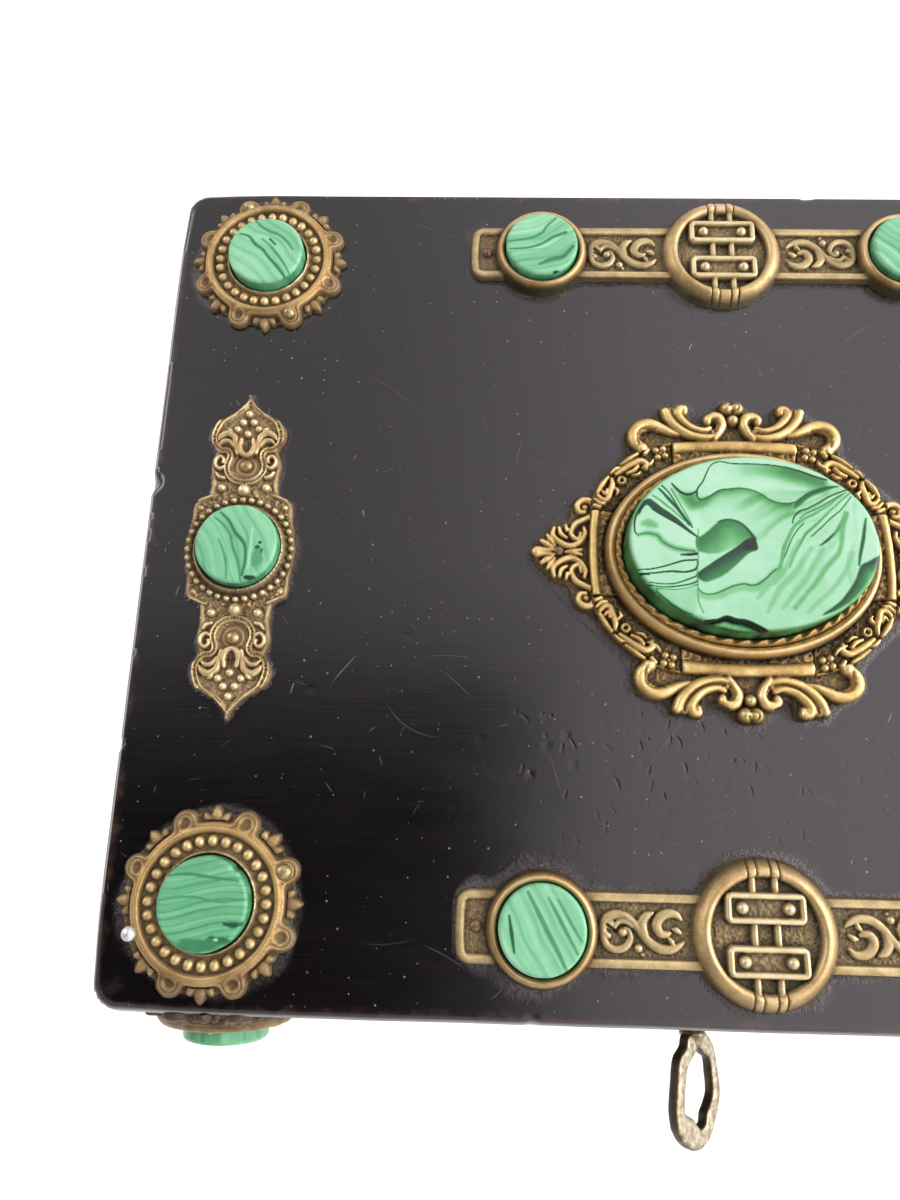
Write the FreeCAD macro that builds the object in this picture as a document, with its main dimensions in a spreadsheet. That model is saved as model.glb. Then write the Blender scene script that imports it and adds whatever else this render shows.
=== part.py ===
"""Lockable ebonised keepsake box with stamped brass mounts and banded green stones.

Frame: millimetres, +Z up, origin at the middle of the base's underside.
The front, with the lock, faces -Y; the hinges are at +Y; X runs along the box.
"""
import FreeCAD, Part
import math
import os
import Sketcher

V = FreeCAD.Vector
doc = FreeCAD.newDocument("keepsake_box")
sheet = doc.addObject("Spreadsheet::Sheet", "dims")

VALUES = [
    # case
    ("box_w", 234.4), ("box_d", 168.0), ("box_h", 105.0), ("joint_z", 68.0),
    ("wall_t", 10.0), ("top_t", 8.0), ("base_t", 6.0), ("corner_r", 5.0), ("edge_r", 1.6),
    # lining
    ("card_t", 1.5), ("floor_pad_t", 4.0), ("lid_pad_t", 5.0), ("pad_gap", 0.3),
    # round rosettes
    ("ros_x", 96.9), ("ros_y", 65.2), ("rim_ros_z", 87.0), ("ros_band_r", 13.4), ("ros_plate_t", 1.2),
    ("ros_lobe_r", 2.2), ("ros_lobe_pcd", 14.1), ("ros_tip_r", 16.3), ("ros_cup_r", 8.4), ("ros_cup_h", 3.4),
    ("disc_r", 8.0), ("disc_top", 5.3), ("rim_plate_t", 2.6), ("rim_disc_top", 7.0),
    # end mounts
    ("end_x", 97.1), ("end_len", 33.3), ("end_t", 1.4), ("end_w", 9.6),
    # straps
    ("strap_y", 67.9), ("strap_len", 53.0), ("strap_w", 6.55), ("strap_t", 1.4), ("strap_disc_x", 38.4),
    ("strap_bezel_r", 9.85), ("strap_bezel_h", 3.4), ("strap_stone_r", 7.7), ("strap_stone_top", 4.9),
    ("medal_r", 12.6), ("medal_h", 2.2),
    # cartouche
    ("cart_t", 1.4), ("cart_x", 39.7), ("cart_y", 32.5), ("bezel_a", 26.4), ("bezel_b", 20.7), ("bezel_h", 4.3),
    ("seat_a", 24.9), ("seat_b", 19.0), ("seat_z", 1.2), ("oval_a", 23.0), ("oval_b", 17.0), ("oval_top", 10.0),
    ("collet_t", 1.6), ("collet_h", 4.7),
    # nails
    ("nail_head_r", 1.25), ("nail_r", 0.5), ("nail_len", 7.0), ("hole_gap", 0.03),
    # hinges
    ("hinge_x", 65.0), ("hinge_len", 34.0), ("hinge_y", 85.2), ("knuckle_r", 2.2), ("hinge_pin_r", 0.9),
    ("leaf_t", 1.1), ("leaf_y", 75.5), ("leaf_w", 6.8), ("bore_gap", 0.05),
    ("screw_r", 0.9), ("screw_head_r", 1.75), ("screw_len", 7.0),
    # lock
    ("lock_w", 52.0), ("lock_z", 42.0), ("lock_plate_t", 1.2), ("lock_depth", 7.0), ("plate_w", 64.0), ("plate_z", 38.0),
    ("case_t", 0.8), ("selv_t", 1.4), ("key_z", 50.0), ("keyhole_r", 2.5), ("slot_w", 2.2), ("slot_len", 6.4),
    ("staple_x", 13.0), ("staple_t", 2.0), ("staple_z", 58.0), ("link_t", 1.2), ("bolt_t", 1.3),
    ("drill_r", 0.9), ("stump_r", 0.6), ("esc_a", 8.0), ("esc_b", 11.5), ("esc_t", 0.8),
    # key
    ("shank_r", 2.0), ("pipe_r", 1.0), ("key_tip_y", 75.6), ("bow_y", 97.5), ("bow_len", 22.1), ("bow_w", 8.1),
    ("bow_t", 3.2), ("bit_len", 5.8), ("bit_t", 1.4), ("key_tilt", 48.0),
]


class Dim:
    """A number that carries the expression it came from."""

    def __init__(self, value, text):
        self.v = float(value)
        self.s = text

    @staticmethod
    def of(x):
        return x if isinstance(x, Dim) else Dim(x, "(%.6f)" % x)

    def __add__(self, o):
        o = Dim.of(o)
        return Dim(self.v + o.v, "(%s + %s)" % (self.s, o.s))

    def __radd__(self, o):
        return Dim.of(o) + self

    def __sub__(self, o):
        o = Dim.of(o)
        return Dim(self.v - o.v, "(%s - %s)" % (self.s, o.s))

    def __rsub__(self, o):
        return Dim.of(o) - self

    def __mul__(self, o):
        o = Dim.of(o)
        return Dim(self.v * o.v, "(%s * %s)" % (self.s, o.s))

    def __rmul__(self, o):
        return Dim.of(o) * self

    def __truediv__(self, o):
        o = Dim.of(o)
        return Dim(self.v / o.v, "(%s / %s)" % (self.s, o.s))

    def __neg__(self):
        return Dim(-self.v, "(-1 * %s)" % self.s)


D = {}
for row, (alias, value) in enumerate(VALUES, start=1):
    sheet.set("A%d" % row, alias)
    sheet.set("B%d" % row, repr(value))
    sheet.setAlias("B%d" % row, alias)
    D[alias] = Dim(value, "dims.%s" % alias)
doc.recompute()

NODES = []


def node(obj, label):
    """A finished piece of the box: it gets its own name and is written out."""
    obj.Label = label
    NODES.append(obj)
    return obj


def bind(obj, prop, dim):
    dim = Dim.of(dim)
    obj.setExpression(prop, dim.s)


def put(obj, x=0.0, y=0.0, z=0.0, rot=None):
    if rot is not None:
        obj.Placement = FreeCAD.Placement(V(0, 0, 0), rot)
    bind(obj, ".Placement.Base.x", x)
    bind(obj, ".Placement.Base.y", y)
    bind(obj, ".Placement.Base.z", z)


def box(x0, x1, y0, y1, z0, z1):
    o = doc.addObject("Part::Box", "block")
    x0, x1, y0, y1, z0, z1 = [Dim.of(q) for q in (x0, x1, y0, y1, z0, z1)]
    bind(o, "Length", x1 - x0)
    bind(o, "Width", y1 - y0)
    bind(o, "Height", z1 - z0)
    put(o, x0, y0, z0)
    return o


ROT = {
    "z": FreeCAD.Rotation(0, 0, 0, 1),
    "-z": FreeCAD.Rotation(V(1, 0, 0), 180),
    "x": FreeCAD.Rotation(V(0, 1, 0), 90),
    "y": FreeCAD.Rotation(V(1, 0, 0), -90),
    "-y": FreeCAD.Rotation(V(1, 0, 0), 90),
}


def rod(r, length, x, y, z, axis="z"):
    o = doc.addObject("Part::Cylinder", "rod")
    bind(o, "Radius", r)
    bind(o, "Height", length)
    put(o, x, y, z, ROT[axis])
    return o


def cone(r1, r2, length, x, y, z, axis="z"):
    o = doc.addObject("Part::Cone", "taper")
    bind(o, "Radius1", r1)
    bind(o, "Radius2", r2)
    bind(o, "Height", length)
    put(o, x, y, z, ROT[axis])
    return o


def dome(r, x, y, z, axis="z"):
    o = doc.addObject("Part::Sphere", "dome")
    bind(o, "Radius", r)
    o.Angle1 = 0
    o.Angle2 = 90
    put(o, x, y, z, ROT[axis])
    return o


def fuse(*parts):
    if len(parts) == 1:
        return parts[0]
    o = doc.addObject("Part::MultiFuse", "joined")
    o.Shapes = list(parts)
    return o


def cut(base, *tools):
    o = doc.addObject("Part::Cut", "cut")
    o.Base = base
    o.Tool = fuse(*tools)
    return o


def group(parts):
    o = doc.addObject("Part::Compound", "set")
    o.Links = list(parts)
    return o


def plane(body, role):
    return [f for f in body.Origin.OriginFeatures if f.Role == role][0]


def sketch(owner, pts, role="XY_Plane", arcs=None, lift=None, name="outline"):
    """A closed outline. pts are (x, y) of Dim or number; arcs maps the index of a side to (radius, middle point)."""
    arcs = arcs or {}
    if owner is None:
        sk = doc.addObject("Sketcher::SketchObject", name)
    else:
        sk = owner.newObject("Sketcher::SketchObject", name)
        sk.AttachmentSupport = [(plane(owner, role), "")]
        sk.MapMode = "FlatFace"
        if lift is not None:
            bind(sk, ".AttachmentOffset.Base.z", lift)
    wire(sk, pts, arcs)
    return sk


def wire(sk, pts, arcs=None):
    arcs = arcs or {}
    pts = [(Dim.of(a), Dim.of(b)) for a, b in pts]
    n = len(pts)
    first = sk.GeometryCount
    ends = []
    for i in range(n):
        a = V(pts[i][0].v, pts[i][1].v, 0)
        b = V(pts[(i + 1) % n][0].v, pts[(i + 1) % n][1].v, 0)
        if i in arcs:
            m = V(Dim.of(arcs[i][1][0]).v, Dim.of(arcs[i][1][1]).v, 0)
            c = Part.ArcOfCircle(a, m, b).Center
            ccw = (m - a).cross(b - m).z > 0
            p, q = (a, b) if ccw else (b, a)
            a0 = math.atan2(p.y - c.y, p.x - c.x)
            a1 = math.atan2(q.y - c.y, q.x - c.x)
            if a1 <= a0:
                a1 += 2 * math.pi
            sk.addGeometry(Part.ArcOfCircle(Part.Circle(c, V(0, 0, 1), Dim.of(arcs[i][0]).v), a0, a1), False)
            ends.append((1, 2) if ccw else (2, 1))
        else:
            sk.addGeometry(Part.LineSegment(a, b), False)
            ends.append((1, 2))
    for i in range(n):
        j = (i + 1) % n
        sk.addConstraint(Sketcher.Constraint("Coincident", first + i, ends[i][1], first + j, ends[j][0]))
    for i in range(n):
        for k, kind in ((0, "DistanceX"), (1, "DistanceY")):
            c = sk.addConstraint(Sketcher.Constraint(kind, -1, 1, first + i, ends[i][0], pts[i][k].v))
            sk.setExpression("Constraints[%d]" % c, pts[i][k].s)
    for i, (r, mid) in arcs.items():
        r = Dim.of(r)
        c = sk.addConstraint(Sketcher.Constraint("Radius", first + i, r.v))
        sk.setExpression("Constraints[%d]" % c, r.s)


def ring(sk, x, y, r):
    """A circle in a sketch."""
    x, y, r = Dim.of(x), Dim.of(y), Dim.of(r)
    g = sk.addGeometry(Part.Circle(V(x.v, y.v, 0), V(0, 0, 1), r.v), False)
    for kind, d in (("DistanceX", x), ("DistanceY", y)):
        c = sk.addConstraint(Sketcher.Constraint(kind, -1, 1, g, 3, d.v))
        sk.setExpression("Constraints[%d]" % c, d.s)
    c = sk.addConstraint(Sketcher.Constraint("Radius", g, r.v))
    sk.setExpression("Constraints[%d]" % c, r.s)


def body(name):
    return doc.addObject("PartDesign::Body", name)


def pad(b, sk, length):
    p = b.newObject("PartDesign::Pad", "pad")
    p.Profile = sk
    bind(p, "Length", length)
    return p


def revolve(b, pts, arcs=None):
    """A turned piece: the outline is drawn in the XZ plane and spun about Z."""
    sk = sketch(b, pts, "XZ_Plane", arcs)
    r = b.newObject("PartDesign::Revolution", "turned")
    r.Profile = sk
    r.ReferenceAxis = (sk, ["V_Axis"])
    r.Angle = 360
    return r


def ellipse_block(a, b, z0, height):
    e = doc.addObject("Part::Ellipse", "oval")
    bind(e, "MajorRadius", a)
    bind(e, "MinorRadius", b)
    x = doc.addObject("Part::Extrusion", "oval_block")
    x.Base = e
    x.DirMode = "Custom"
    x.Dir = V(0, 0, 1)
    x.Solid = True
    bind(x, "LengthFwd", height)
    bind(x, ".Placement.Base.z", z0)
    return x


# ---------------------------------------------------------------- case boards
half_w, half_d = D["box_w"] / 2, D["box_d"] / 2
t, cr = D["wall_t"], D["corner_r"]
k45 = 1 - math.sqrt(0.5)
k22s, k22c = 1 - math.sin(math.pi / 8), 1 - math.cos(math.pi / 8)


def rim_board(name, side, z0, z1):
    """One mitred board of a frame; its outer corners share the box's rounding."""
    b = body(name)
    if side in ("front", "back"):
        s = -1 if side == "front" else 1
        pts = [
            (-half_w + t, s * (half_d - t)),
            (-half_w + cr * k45, s * (half_d - cr * k45)),
            (-half_w + cr, s * half_d),
            (half_w - cr, s * half_d),
            (half_w - cr * k45, s * (half_d - cr * k45)),
            (half_w - t, s * (half_d - t)),
        ]
        arcs = {
            1: (cr, (-half_w + cr * k22s, s * (half_d - cr * k22c))),
            3: (cr, (half_w - cr * k22s, s * (half_d - cr * k22c))),
        }
    else:
        s = -1 if side == "left" else 1
        pts = [
            (s * (half_w - t), -half_d + t),
            (s * (half_w - cr * k45), -half_d + cr * k45),
            (s * half_w, -half_d + cr),
            (s * half_w, half_d - cr),
            (s * (half_w - cr * k45), half_d - cr * k45),
            (s * (half_w - t), half_d - t),
        ]
        arcs = {
            1: (cr, (s * (half_w - cr * k22c), -half_d + cr * k22s)),
            3: (cr, (s * (half_w - cr * k22c), half_d - cr * k22s)),
        }
    sk = sketch(b, pts, arcs=arcs, lift=z0)
    pad(b, sk, Dim.of(z1) - Dim.of(z0))
    return b


jz, rim_top, bh = D["joint_z"], D["box_h"] - D["top_t"], D["box_h"]

# cut-outs for the butt hinges
hx, hl, hy = D["hinge_x"], D["hinge_len"], D["hinge_y"]
lt, ly, lw = D["leaf_t"], D["leaf_y"], D["leaf_w"]
screw_y = ly + 3.2
HINGE_SCREW_X = (-11.0, 0.0, 11.0)


def hinge_tools(sign):
    tools = []
    for s in (-1, 1):
        c = s * hx
        if sign < 0:
            tools.append(box(c - hl / 2 - 0.1, c + hl / 2 + 0.1, ly - 0.1, half_d + 1, jz - lt, jz + 1))
            tools.append(box(c - hl / 2 - 0.3, c + hl / 2 + 0.3, hy - D["knuckle_r"] - 0.5, half_d + 1, jz - 2.6, jz + 1))
            for q in HINGE_SCREW_X:
                tools.append(rod(D["screw_r"] + D["hole_gap"], D["screw_len"] + 0.5, c + q, screw_y, jz, "-z"))
        else:
            tools.append(box(c - hl / 2 - 0.1, c + hl / 2 + 0.1, ly - 0.1, half_d + 1, jz - 1, jz + lt))
            tools.append(box(c - hl / 2 - 0.3, c + hl / 2 + 0.3, hy - D["knuckle_r"] - 0.5, half_d + 1, jz - 1, jz + 2.6))
            for q in HINGE_SCREW_X:
                tools.append(rod(D["screw_r"] + D["hole_gap"], D["screw_len"] + 0.5, c + q, screw_y, jz, "z"))
    return tools


# lock cut-outs in the front board: the plate's shallow seat, the deep mortise, the keyhole
in_y = -half_d + t
case_y = in_y - D["lock_depth"]
plate_y = in_y - D["lock_plate_t"]
kz = D["key_z"]


def keyhole(y0, y1, extra=0.0):
    r = D["keyhole_r"] + extra
    w = D["slot_w"] / 2 + extra
    return fuse(
        rod(r, Dim.of(y1) - Dim.of(y0), 0, y0, kz, "y"),
        box(-w, w, y0, y1, kz - D["slot_len"] - extra, kz),
    )


LOCK_SCREWS = ((-29.0, 41.5), (29.0, 41.5), (-29.0, 63.5), (29.0, 63.5))
lock_tools = [
    box(-D["plate_w"] / 2, D["plate_w"] / 2, plate_y, in_y + 1, D["plate_z"], jz + 1),
    box(-D["lock_w"] / 2, D["lock_w"] / 2, case_y, in_y + 1, D["lock_z"], jz + 1),
    keyhole(-half_d - 1, case_y + 0.5),
]
for sx, sz in LOCK_SCREWS:
    lock_tools.append(rod(D["screw_r"] + D["hole_gap"], D["screw_len"] - 0.4, sx, in_y, sz, "-y"))

node(cut(rim_board("front_blank", "front", 0, jz), *lock_tools), "body_front")
node(cut(rim_board("back_blank", "back", 0, jz), *hinge_tools(-1)), "body_back")
node(rim_board("left_blank", "left", 0, jz), "body_left")
node(rim_board("right_blank", "right", 0, jz), "body_right")
node(box(-half_w + t, half_w - t, -half_d + t, half_d - t, 0, D["base_t"]), "base_board")

# lid frame and top
link_y0, link_y1 = -half_d + 3, -half_d + 9
LINK_SCREW_X = (-20.5, 20.5)
link_tools = [box(-D["lock_w"] / 2, D["lock_w"] / 2, link_y0, link_y1, jz - 1, jz + D["link_t"])]
for q in LINK_SCREW_X:
    link_tools.append(rod(D["screw_r"] + D["hole_gap"], D["screw_len"] + 0.5, q, (link_y0 + link_y1) / 2, jz, "z"))

# nails of the mounts: (x, y, height of the seat above the face)
ang = math.radians


def lobe(angle):
    return math.cos(ang(angle)) * D["ros_lobe_pcd"], math.sin(ang(angle)) * D["ros_lobe_pcd"]


ROSETTES = {
    "rosette_front_left": (-1, -1, (22.5, 202.5)),
    "rosette_front_right": (1, -1, (157.5, 337.5)),
    "rosette_back_left": (-1, 1, (-67.5, 112.5)),
    "rosette_back_right": (1, 1, (67.5, -112.5)),
}
RIM_ROSETTES = {"rim_rosette_left": (-1, (247.5, 292.5)), "rim_rosette_right": (1, (247.5, 292.5))}

top_nails, rim_nails = [], []
for label, (sx, sy, angles) in ROSETTES.items():
    for a in angles:
        lx, ly_ = lobe(a)
        top_nails.append((sx * D["ros_x"] + lx, sy * D["ros_y"] + ly_, D["ros_plate_t"]))
for sx in (-1, 1):
    for sy in (-1, 1):
        top_nails.append((sx * D["end_x"], Dim.of(sy * 18.0), D["end_t"]))
for sy in (-1, 1):
    for sx in (-1, 1):
        top_nails.append((Dim.of(sx * 49.8), sy * D["strap_y"], D["strap_t"]))
for sx in (-1, 1):
    top_nails.append((Dim.of(sx * 35.0), Dim.of(0.3), D["cart_t"]))
for label, (sx, angles) in RIM_ROSETTES.items():
    for a in angles:
        lx, lz = lobe(a)
        rim_nails.append((sx * D["ros_x"] + lx, D["rim_ros_z"] + lz, D["rim_plate_t"]))

nr, ng, nl = D["nail_r"], D["hole_gap"], D["nail_len"]
rim_holes = [rod(nr + ng, nl, x, -half_d, z, "y") for x, z, h in rim_nails]
node(cut(rim_board("lid_front_blank", "front", jz, rim_top), *(link_tools + rim_holes)), "lid_front")
node(cut(rim_board("lid_back_blank", "back", jz, rim_top), *hinge_tools(1)), "lid_back")
node(rim_board("lid_left_blank", "left", jz, rim_top), "lid_left")
node(rim_board("lid_right_blank", "right", jz, rim_top), "lid_right")

top = body("lid_top_blank")
top_sk = sketch(
    top,
    [
        (-half_w + cr, -half_d), (half_w - cr, -half_d), (half_w, -half_d + cr), (half_w, half_d - cr),
        (half_w - cr, half_d), (-half_w + cr, half_d), (-half_w, half_d - cr), (-half_w, -half_d + cr),
    ],
    arcs={
        1: (cr, (half_w - cr * k45, -half_d + cr * k45)),
        3: (cr, (half_w - cr * k45, half_d - cr * k45)),
        5: (cr, (-half_w + cr * k45, half_d - cr * k45)),
        7: (cr, (-half_w + cr * k45, -half_d + cr * k45)),
    },
    lift=rim_top,
)
top_pad = pad(top, top_sk, D["top_t"])
doc.recompute()
upper = ["Face%d" % (i + 1) for i, f in enumerate(top_pad.Shape.Faces) if f.normalAt(0, 0).z > 0.9]
fil = top.newObject("PartDesign::Fillet", "edge_round")
fil.Base = (top_pad, upper)
bind(fil, "Radius", D["edge_r"])
top.Tip = fil
top_holes = [rod(nr + ng, nl - h, x, y, bh, "-z") for x, y, h in top_nails]
node(cut(top, *top_holes), "lid_top")

# ---------------------------------------------------------------- nails
NAILS = []
for x, y, h in top_nails:
    NAILS.append(fuse(rod(nr, nl - 0.3, x, y, bh + h + 0.2, "-z"), dome(D["nail_head_r"], x, y, bh + h)))
node(group(NAILS), "mount_pins_top")
NAILS = []
for x, z, h in rim_nails:
    NAILS.append(fuse(rod(nr, nl - 0.3, x, -half_d - h - 0.2, z, "y"), dome(D["nail_head_r"], x, -half_d - h, z, "-y")))
node(group(NAILS), "mount_pins_rim")


# ---------------------------------------------------------------- rosettes
def rosette(label, angles, pt):
    """A dished round mount: a cup for the stone, a beaded slope, a flat band, eight lobes and eight leaf tips."""
    b = body(label)
    rb, rc = D["ros_band_r"], D["ros_cup_r"]
    up = pt - D["ros_plate_t"]
    revolve(b, [
        (0.0, 0.0), (rb, 0.0), (rb, up + 1.5), (rb - 1.2, up + 2.1), (rb - 2.0, up + 1.6), (rc + 1.0, up + 2.2), (rc + 0.8, up + D["ros_cup_h"]),
        (rc, up + D["ros_cup_h"]), (rc, pt), (0.0, pt),
    ])
    sk = b.newObject("Sketcher::SketchObject", "lobe")
    sk.AttachmentSupport = [(plane(b, "XY_Plane"), "")]
    sk.MapMode = "FlatFace"
    lx, ly_ = lobe(22.5)
    ring(sk, lx, ly_, D["ros_lobe_r"])
    p1 = pad(b, sk, pt)
    sk2 = sketch(b, [(rb - 1.5, -2.0), (D["ros_tip_r"] - 0.4, -0.35), (D["ros_tip_r"], 0.01), (D["ros_tip_r"] - 0.4, 0.35), (rb - 1.5, 2.0)], name="leaf")
    p2 = pad(b, sk2, pt)
    doc.recompute()
    pp = b.newObject("PartDesign::PolarPattern", "round")
    pp.Originals = [p1, p2]
    pp.Axis = (plane(b, "Z_Axis"), [""])
    pp.Angle = 360
    pp.Occurrences = 8
    b.Tip = pp
    doc.recompute()
    holes = b.newObject("Sketcher::SketchObject", "nail_holes")
    holes.AttachmentSupport = [(plane(b, "XY_Plane"), "")]
    holes.MapMode = "FlatFace"
    for a in angles:
        lx, ly_ = lobe(a)
        ring(holes, lx, ly_, nr + ng)
    pk = b.newObject("PartDesign::Pocket", "nail_pocket")
    pk.Profile = holes
    pk.Type = "ThroughAll"
    pk.Reversed = True
    b.Tip = pk
    doc.recompute()
    room = b.newObject("Sketcher::SketchObject", "nail_head_room")
    room.AttachmentSupport = [(plane(b, "XY_Plane"), "")]
    room.MapMode = "FlatFace"
    bind(room, ".AttachmentOffset.Base.z", pt)
    for a in angles:
        lx, ly_ = lobe(a)
        ring(room, lx, ly_, D["nail_head_r"] + 0.15)
    pk = b.newObject("PartDesign::Pocket", "nail_head_pocket")
    pk.Profile = room
    pk.Type = "ThroughAll"
    pk.Reversed = True
    b.Tip = pk
    return node(b, label)


def disc(label, r, z0, z1, edge=0.7):
    """A flat-topped stone disc with a softly rounded rim."""
    b = body(label)
    r, z0, z1 = Dim.of(r), Dim.of(z0), Dim.of(z1)
    s = math.sqrt(0.5)
    revolve(b, [(0.0, z0), (r, z0), (r, z1 - 0.25 - edge), (r - edge, z1 - 0.25), (0.0, z1)],
            arcs={2: (edge, (r - edge * (1 - s), z1 - 0.25 - edge * (1 - s)))})
    return node(b, label)


for label, (sx, sy, angles) in ROSETTES.items():
    b = rosette(label, angles, D["ros_plate_t"])
    put(b, sx * D["ros_x"], sy * D["ros_y"], bh)
    b = disc(label.replace("rosette", "stone"), D["disc_r"], D["ros_plate_t"], D["disc_top"])
    put(b, sx * D["ros_x"], sy * D["ros_y"], bh)
for label, (sx, angles) in RIM_ROSETTES.items():
    b = rosette(label, angles, D["rim_plate_t"])
    put(b, sx * D["ros_x"], -half_d, D["rim_ros_z"], ROT["-y"])
    b = disc(label.replace("rosette", "stone"), D["disc_r"], D["rim_plate_t"], D["rim_disc_top"])
    put(b, sx * D["ros_x"], -half_d, D["rim_ros_z"], ROT["-y"])

# ---------------------------------------------------------------- end mounts
END_HALF = [
    (10.3, 0.0), (10.3, 4.0), (9.6, 9.3), (7.2, 9.8), (6.1, 11.6), (6.1, 15.2), (6.9, 17.6), (6.3, 19.6), (5.5, 20.6),
    (6.6, 22.4), (7.3, 24.6), (6.8, 26.4), (4.6, 28.6), (2.2, 30.6), (0.9, 32.4), (0.01, 33.3),
]
for side, s in (("left", -1), ("right", 1)):
    b = body("end_mount_" + side)
    quarter = [(D["end_w"] * (x / 9.6), D["end_len"] * (y / 33.3)) for x, y in END_HALF]
    outline = quarter[:-1] + [(0.0, D["end_len"])]
    outline += [(-x, y) for x, y in reversed(quarter[:-1])]
    outline += [(-x, -y) for x, y in quarter[1:-1]] + [(0.0, -D["end_len"])]
    outline += [(x, -y) for x, y in reversed(quarter[1:-1])]
    pad(b, sketch(b, outline), D["end_t"])
    rc = D["ros_cup_r"]
    revolve(b, [(rc, 0.2), (rc + 1.6, 0.2), (rc + 1.6, 1.9), (rc + 0.9, 2.3), (rc + 0.8, D["ros_cup_h"]), (rc, D["ros_cup_h"])])
    doc.recompute()
    holes = b.newObject("Sketcher::SketchObject", "nail_holes")
    holes.AttachmentSupport = [(plane(b, "XY_Plane"), "")]
    holes.MapMode = "FlatFace"
    for q in (-18.0, 18.0):
        ring(holes, 0.0, q, nr + ng)
    pk = b.newObject("PartDesign::Pocket", "nail_pocket")
    pk.Profile = holes
    pk.Type = "ThroughAll"
    pk.Reversed = True
    b.Tip = pk
    put(b, s * D["end_x"], 0, bh)
    node(b, "end_mount_" + side)
    b = disc("stone_end_" + side, D["disc_r"], D["end_t"], D["disc_top"])
    put(b, s * D["end_x"], 0, bh)

# ---------------------------------------------------------------- straps
for side, s in (("front", -1), ("back", 1)):
    y, sdx = s * D["strap_y"], D["strap_disc_x"]
    sl, sw = D["strap_len"], D["strap_w"]
    solid = [
        box(-sl + 4, sl - 4, y - sw, y + sw, bh, bh + D["strap_t"]),
        box(-sl, sl, y - sw + 2.4, y + sw - 2.4, bh, bh + D["strap_t"]),
        rod(D["medal_r"], D["medal_h"], 0, y, bh),
    ]
    gone = []
    for q in (-1, 1):
        solid.append(rod(4.0, D["strap_t"], q * (sl - 4), y - sw + 4.0, bh))
        solid.append(rod(4.0, D["strap_t"], q * (sl - 4), y + sw - 4.0, bh))
        solid.append(rod(D["strap_bezel_r"], D["strap_bezel_h"], q * sdx, y, bh))
        gone.append(rod(D["strap_stone_r"] + 0.25, 5.0, q * sdx, y, bh + 1.0))
        gone.append(rod(nr + ng, 5.0, q * 49.8, y, bh - 1))
    node(cut(fuse(*solid), *gone), "strap_" + side)
    for name, q in (("left", -1), ("right", 1)):
        b = disc("stone_strap_%s_%s" % (side, name), D["strap_stone_r"], 1.0, D["strap_stone_top"])
        put(b, q * sdx, y, bh)

# ---------------------------------------------------------------- cartouche, collet and oval stone
CART = [
    (39.7, 0.0), (38.9, 1.6), (36.2, 2.6), (34.6, 5.4), (32.0, 8.4), (31.6, 11.0), (28.6, 12.4), (25.2, 15.0), (21.6, 18.6),
    (21.2, 22.4), (18.6, 25.0), (17.2, 27.4), (14.2, 28.2), (13.4, 31.4), (10.2, 32.3), (8.2, 30.6), (5.6, 31.2), (2.2, 31.8), (0.01, 32.5),
]
b = body("cartouche_plate")
quarter = [(D["cart_x"] * (x / 39.7), D["cart_y"] * (y / 32.5)) for x, y in CART]
outline = [quarter[0]] + quarter[1:-1] + [(0.0, D["cart_y"])]
outline += [(-x, y) for x, y in reversed(quarter[:-1])]
outline += [(-x, -y) for x, y in quarter[1:-1]] + [(0.0, -D["cart_y"])]
outline += [(x, -y) for x, y in reversed(quarter[1:-1])]
pad(b, sketch(b, outline), D["cart_t"])
put(b, 0, 0, bh)
bezel = ellipse_block(D["bezel_a"], D["bezel_b"], bh, D["bezel_h"])
seat = ellipse_block(D["seat_a"], D["seat_b"], bh + D["seat_z"], 8.0)
cart_holes = [rod(nr + ng, 5.0, s * 35.0, 0.3, bh - 1) for s in (-1, 1)]
node(cut(fuse(b, bezel), *([seat] + cart_holes)), "cartouche")
ct, cg = D["collet_t"], 0.1
node(
    cut(
        ellipse_block(D["seat_a"] - cg, D["seat_b"] - cg, bh + D["seat_z"], D["collet_h"] - D["seat_z"]),
        ellipse_block(D["seat_a"] - cg - ct, D["seat_b"] - cg - ct, bh, 9.0),
    ),
    "oval_collet",
)
stone = ellipse_block(D["oval_a"], D["oval_b"], bh + D["seat_z"], D["oval_top"] - D["seat_z"])
doc.recompute()
rim_edges = [i + 1 for i, e in enumerate(stone.Shape.Edges) if e.BoundBox.ZMin > (bh + D["oval_top"]).v - 0.01 and e.Length > 50]
rounded = doc.addObject("Part::Fillet", "oval_round")
rounded.Base = stone
rounded.Edges = [(i, 1.5, 1.5) for i in rim_edges]
node(rounded, "stone_centre_oval")


# ---------------------------------------------------------------- screws and hinges
def screw(x, y, z, axis, length):
    """A countersunk slotted screw; its head's face is a little below the surface at (x, y, z)."""
    d = {"z": (0, 0, 1), "-z": (0, 0, -1), "y": (0, 1, 0), "-y": (0, -1, 0)}[axis]
    sink, head = 0.1, 0.9
    at = [Dim.of(p) + sink * q for p, q in zip((x, y, z), d)]
    blank = fuse(
        cone(D["screw_head_r"], D["screw_r"], head, at[0], at[1], at[2], axis),
        rod(D["screw_r"], length, at[0], at[1], at[2], axis),
    )
    lo = [p - 2.2 if q == 0 else p for p, q in zip(at, d)]
    hi = [p + 2.2 if q == 0 else p for p, q in zip(at, d)]
    n = [i for i in range(3) if d[i] != 0][0]
    w = 1 if n == 2 else 2
    lo[w], hi[w] = at[w] - 0.25, at[w] + 0.25
    lo[n], hi[n] = (at[n] - 0.5, at[n] + 0.4) if d[n] > 0 else (at[n] - 0.4, at[n] + 0.5)
    return cut(blank, box(lo[0], hi[0], lo[1], hi[1], lo[2], hi[2]))


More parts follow.
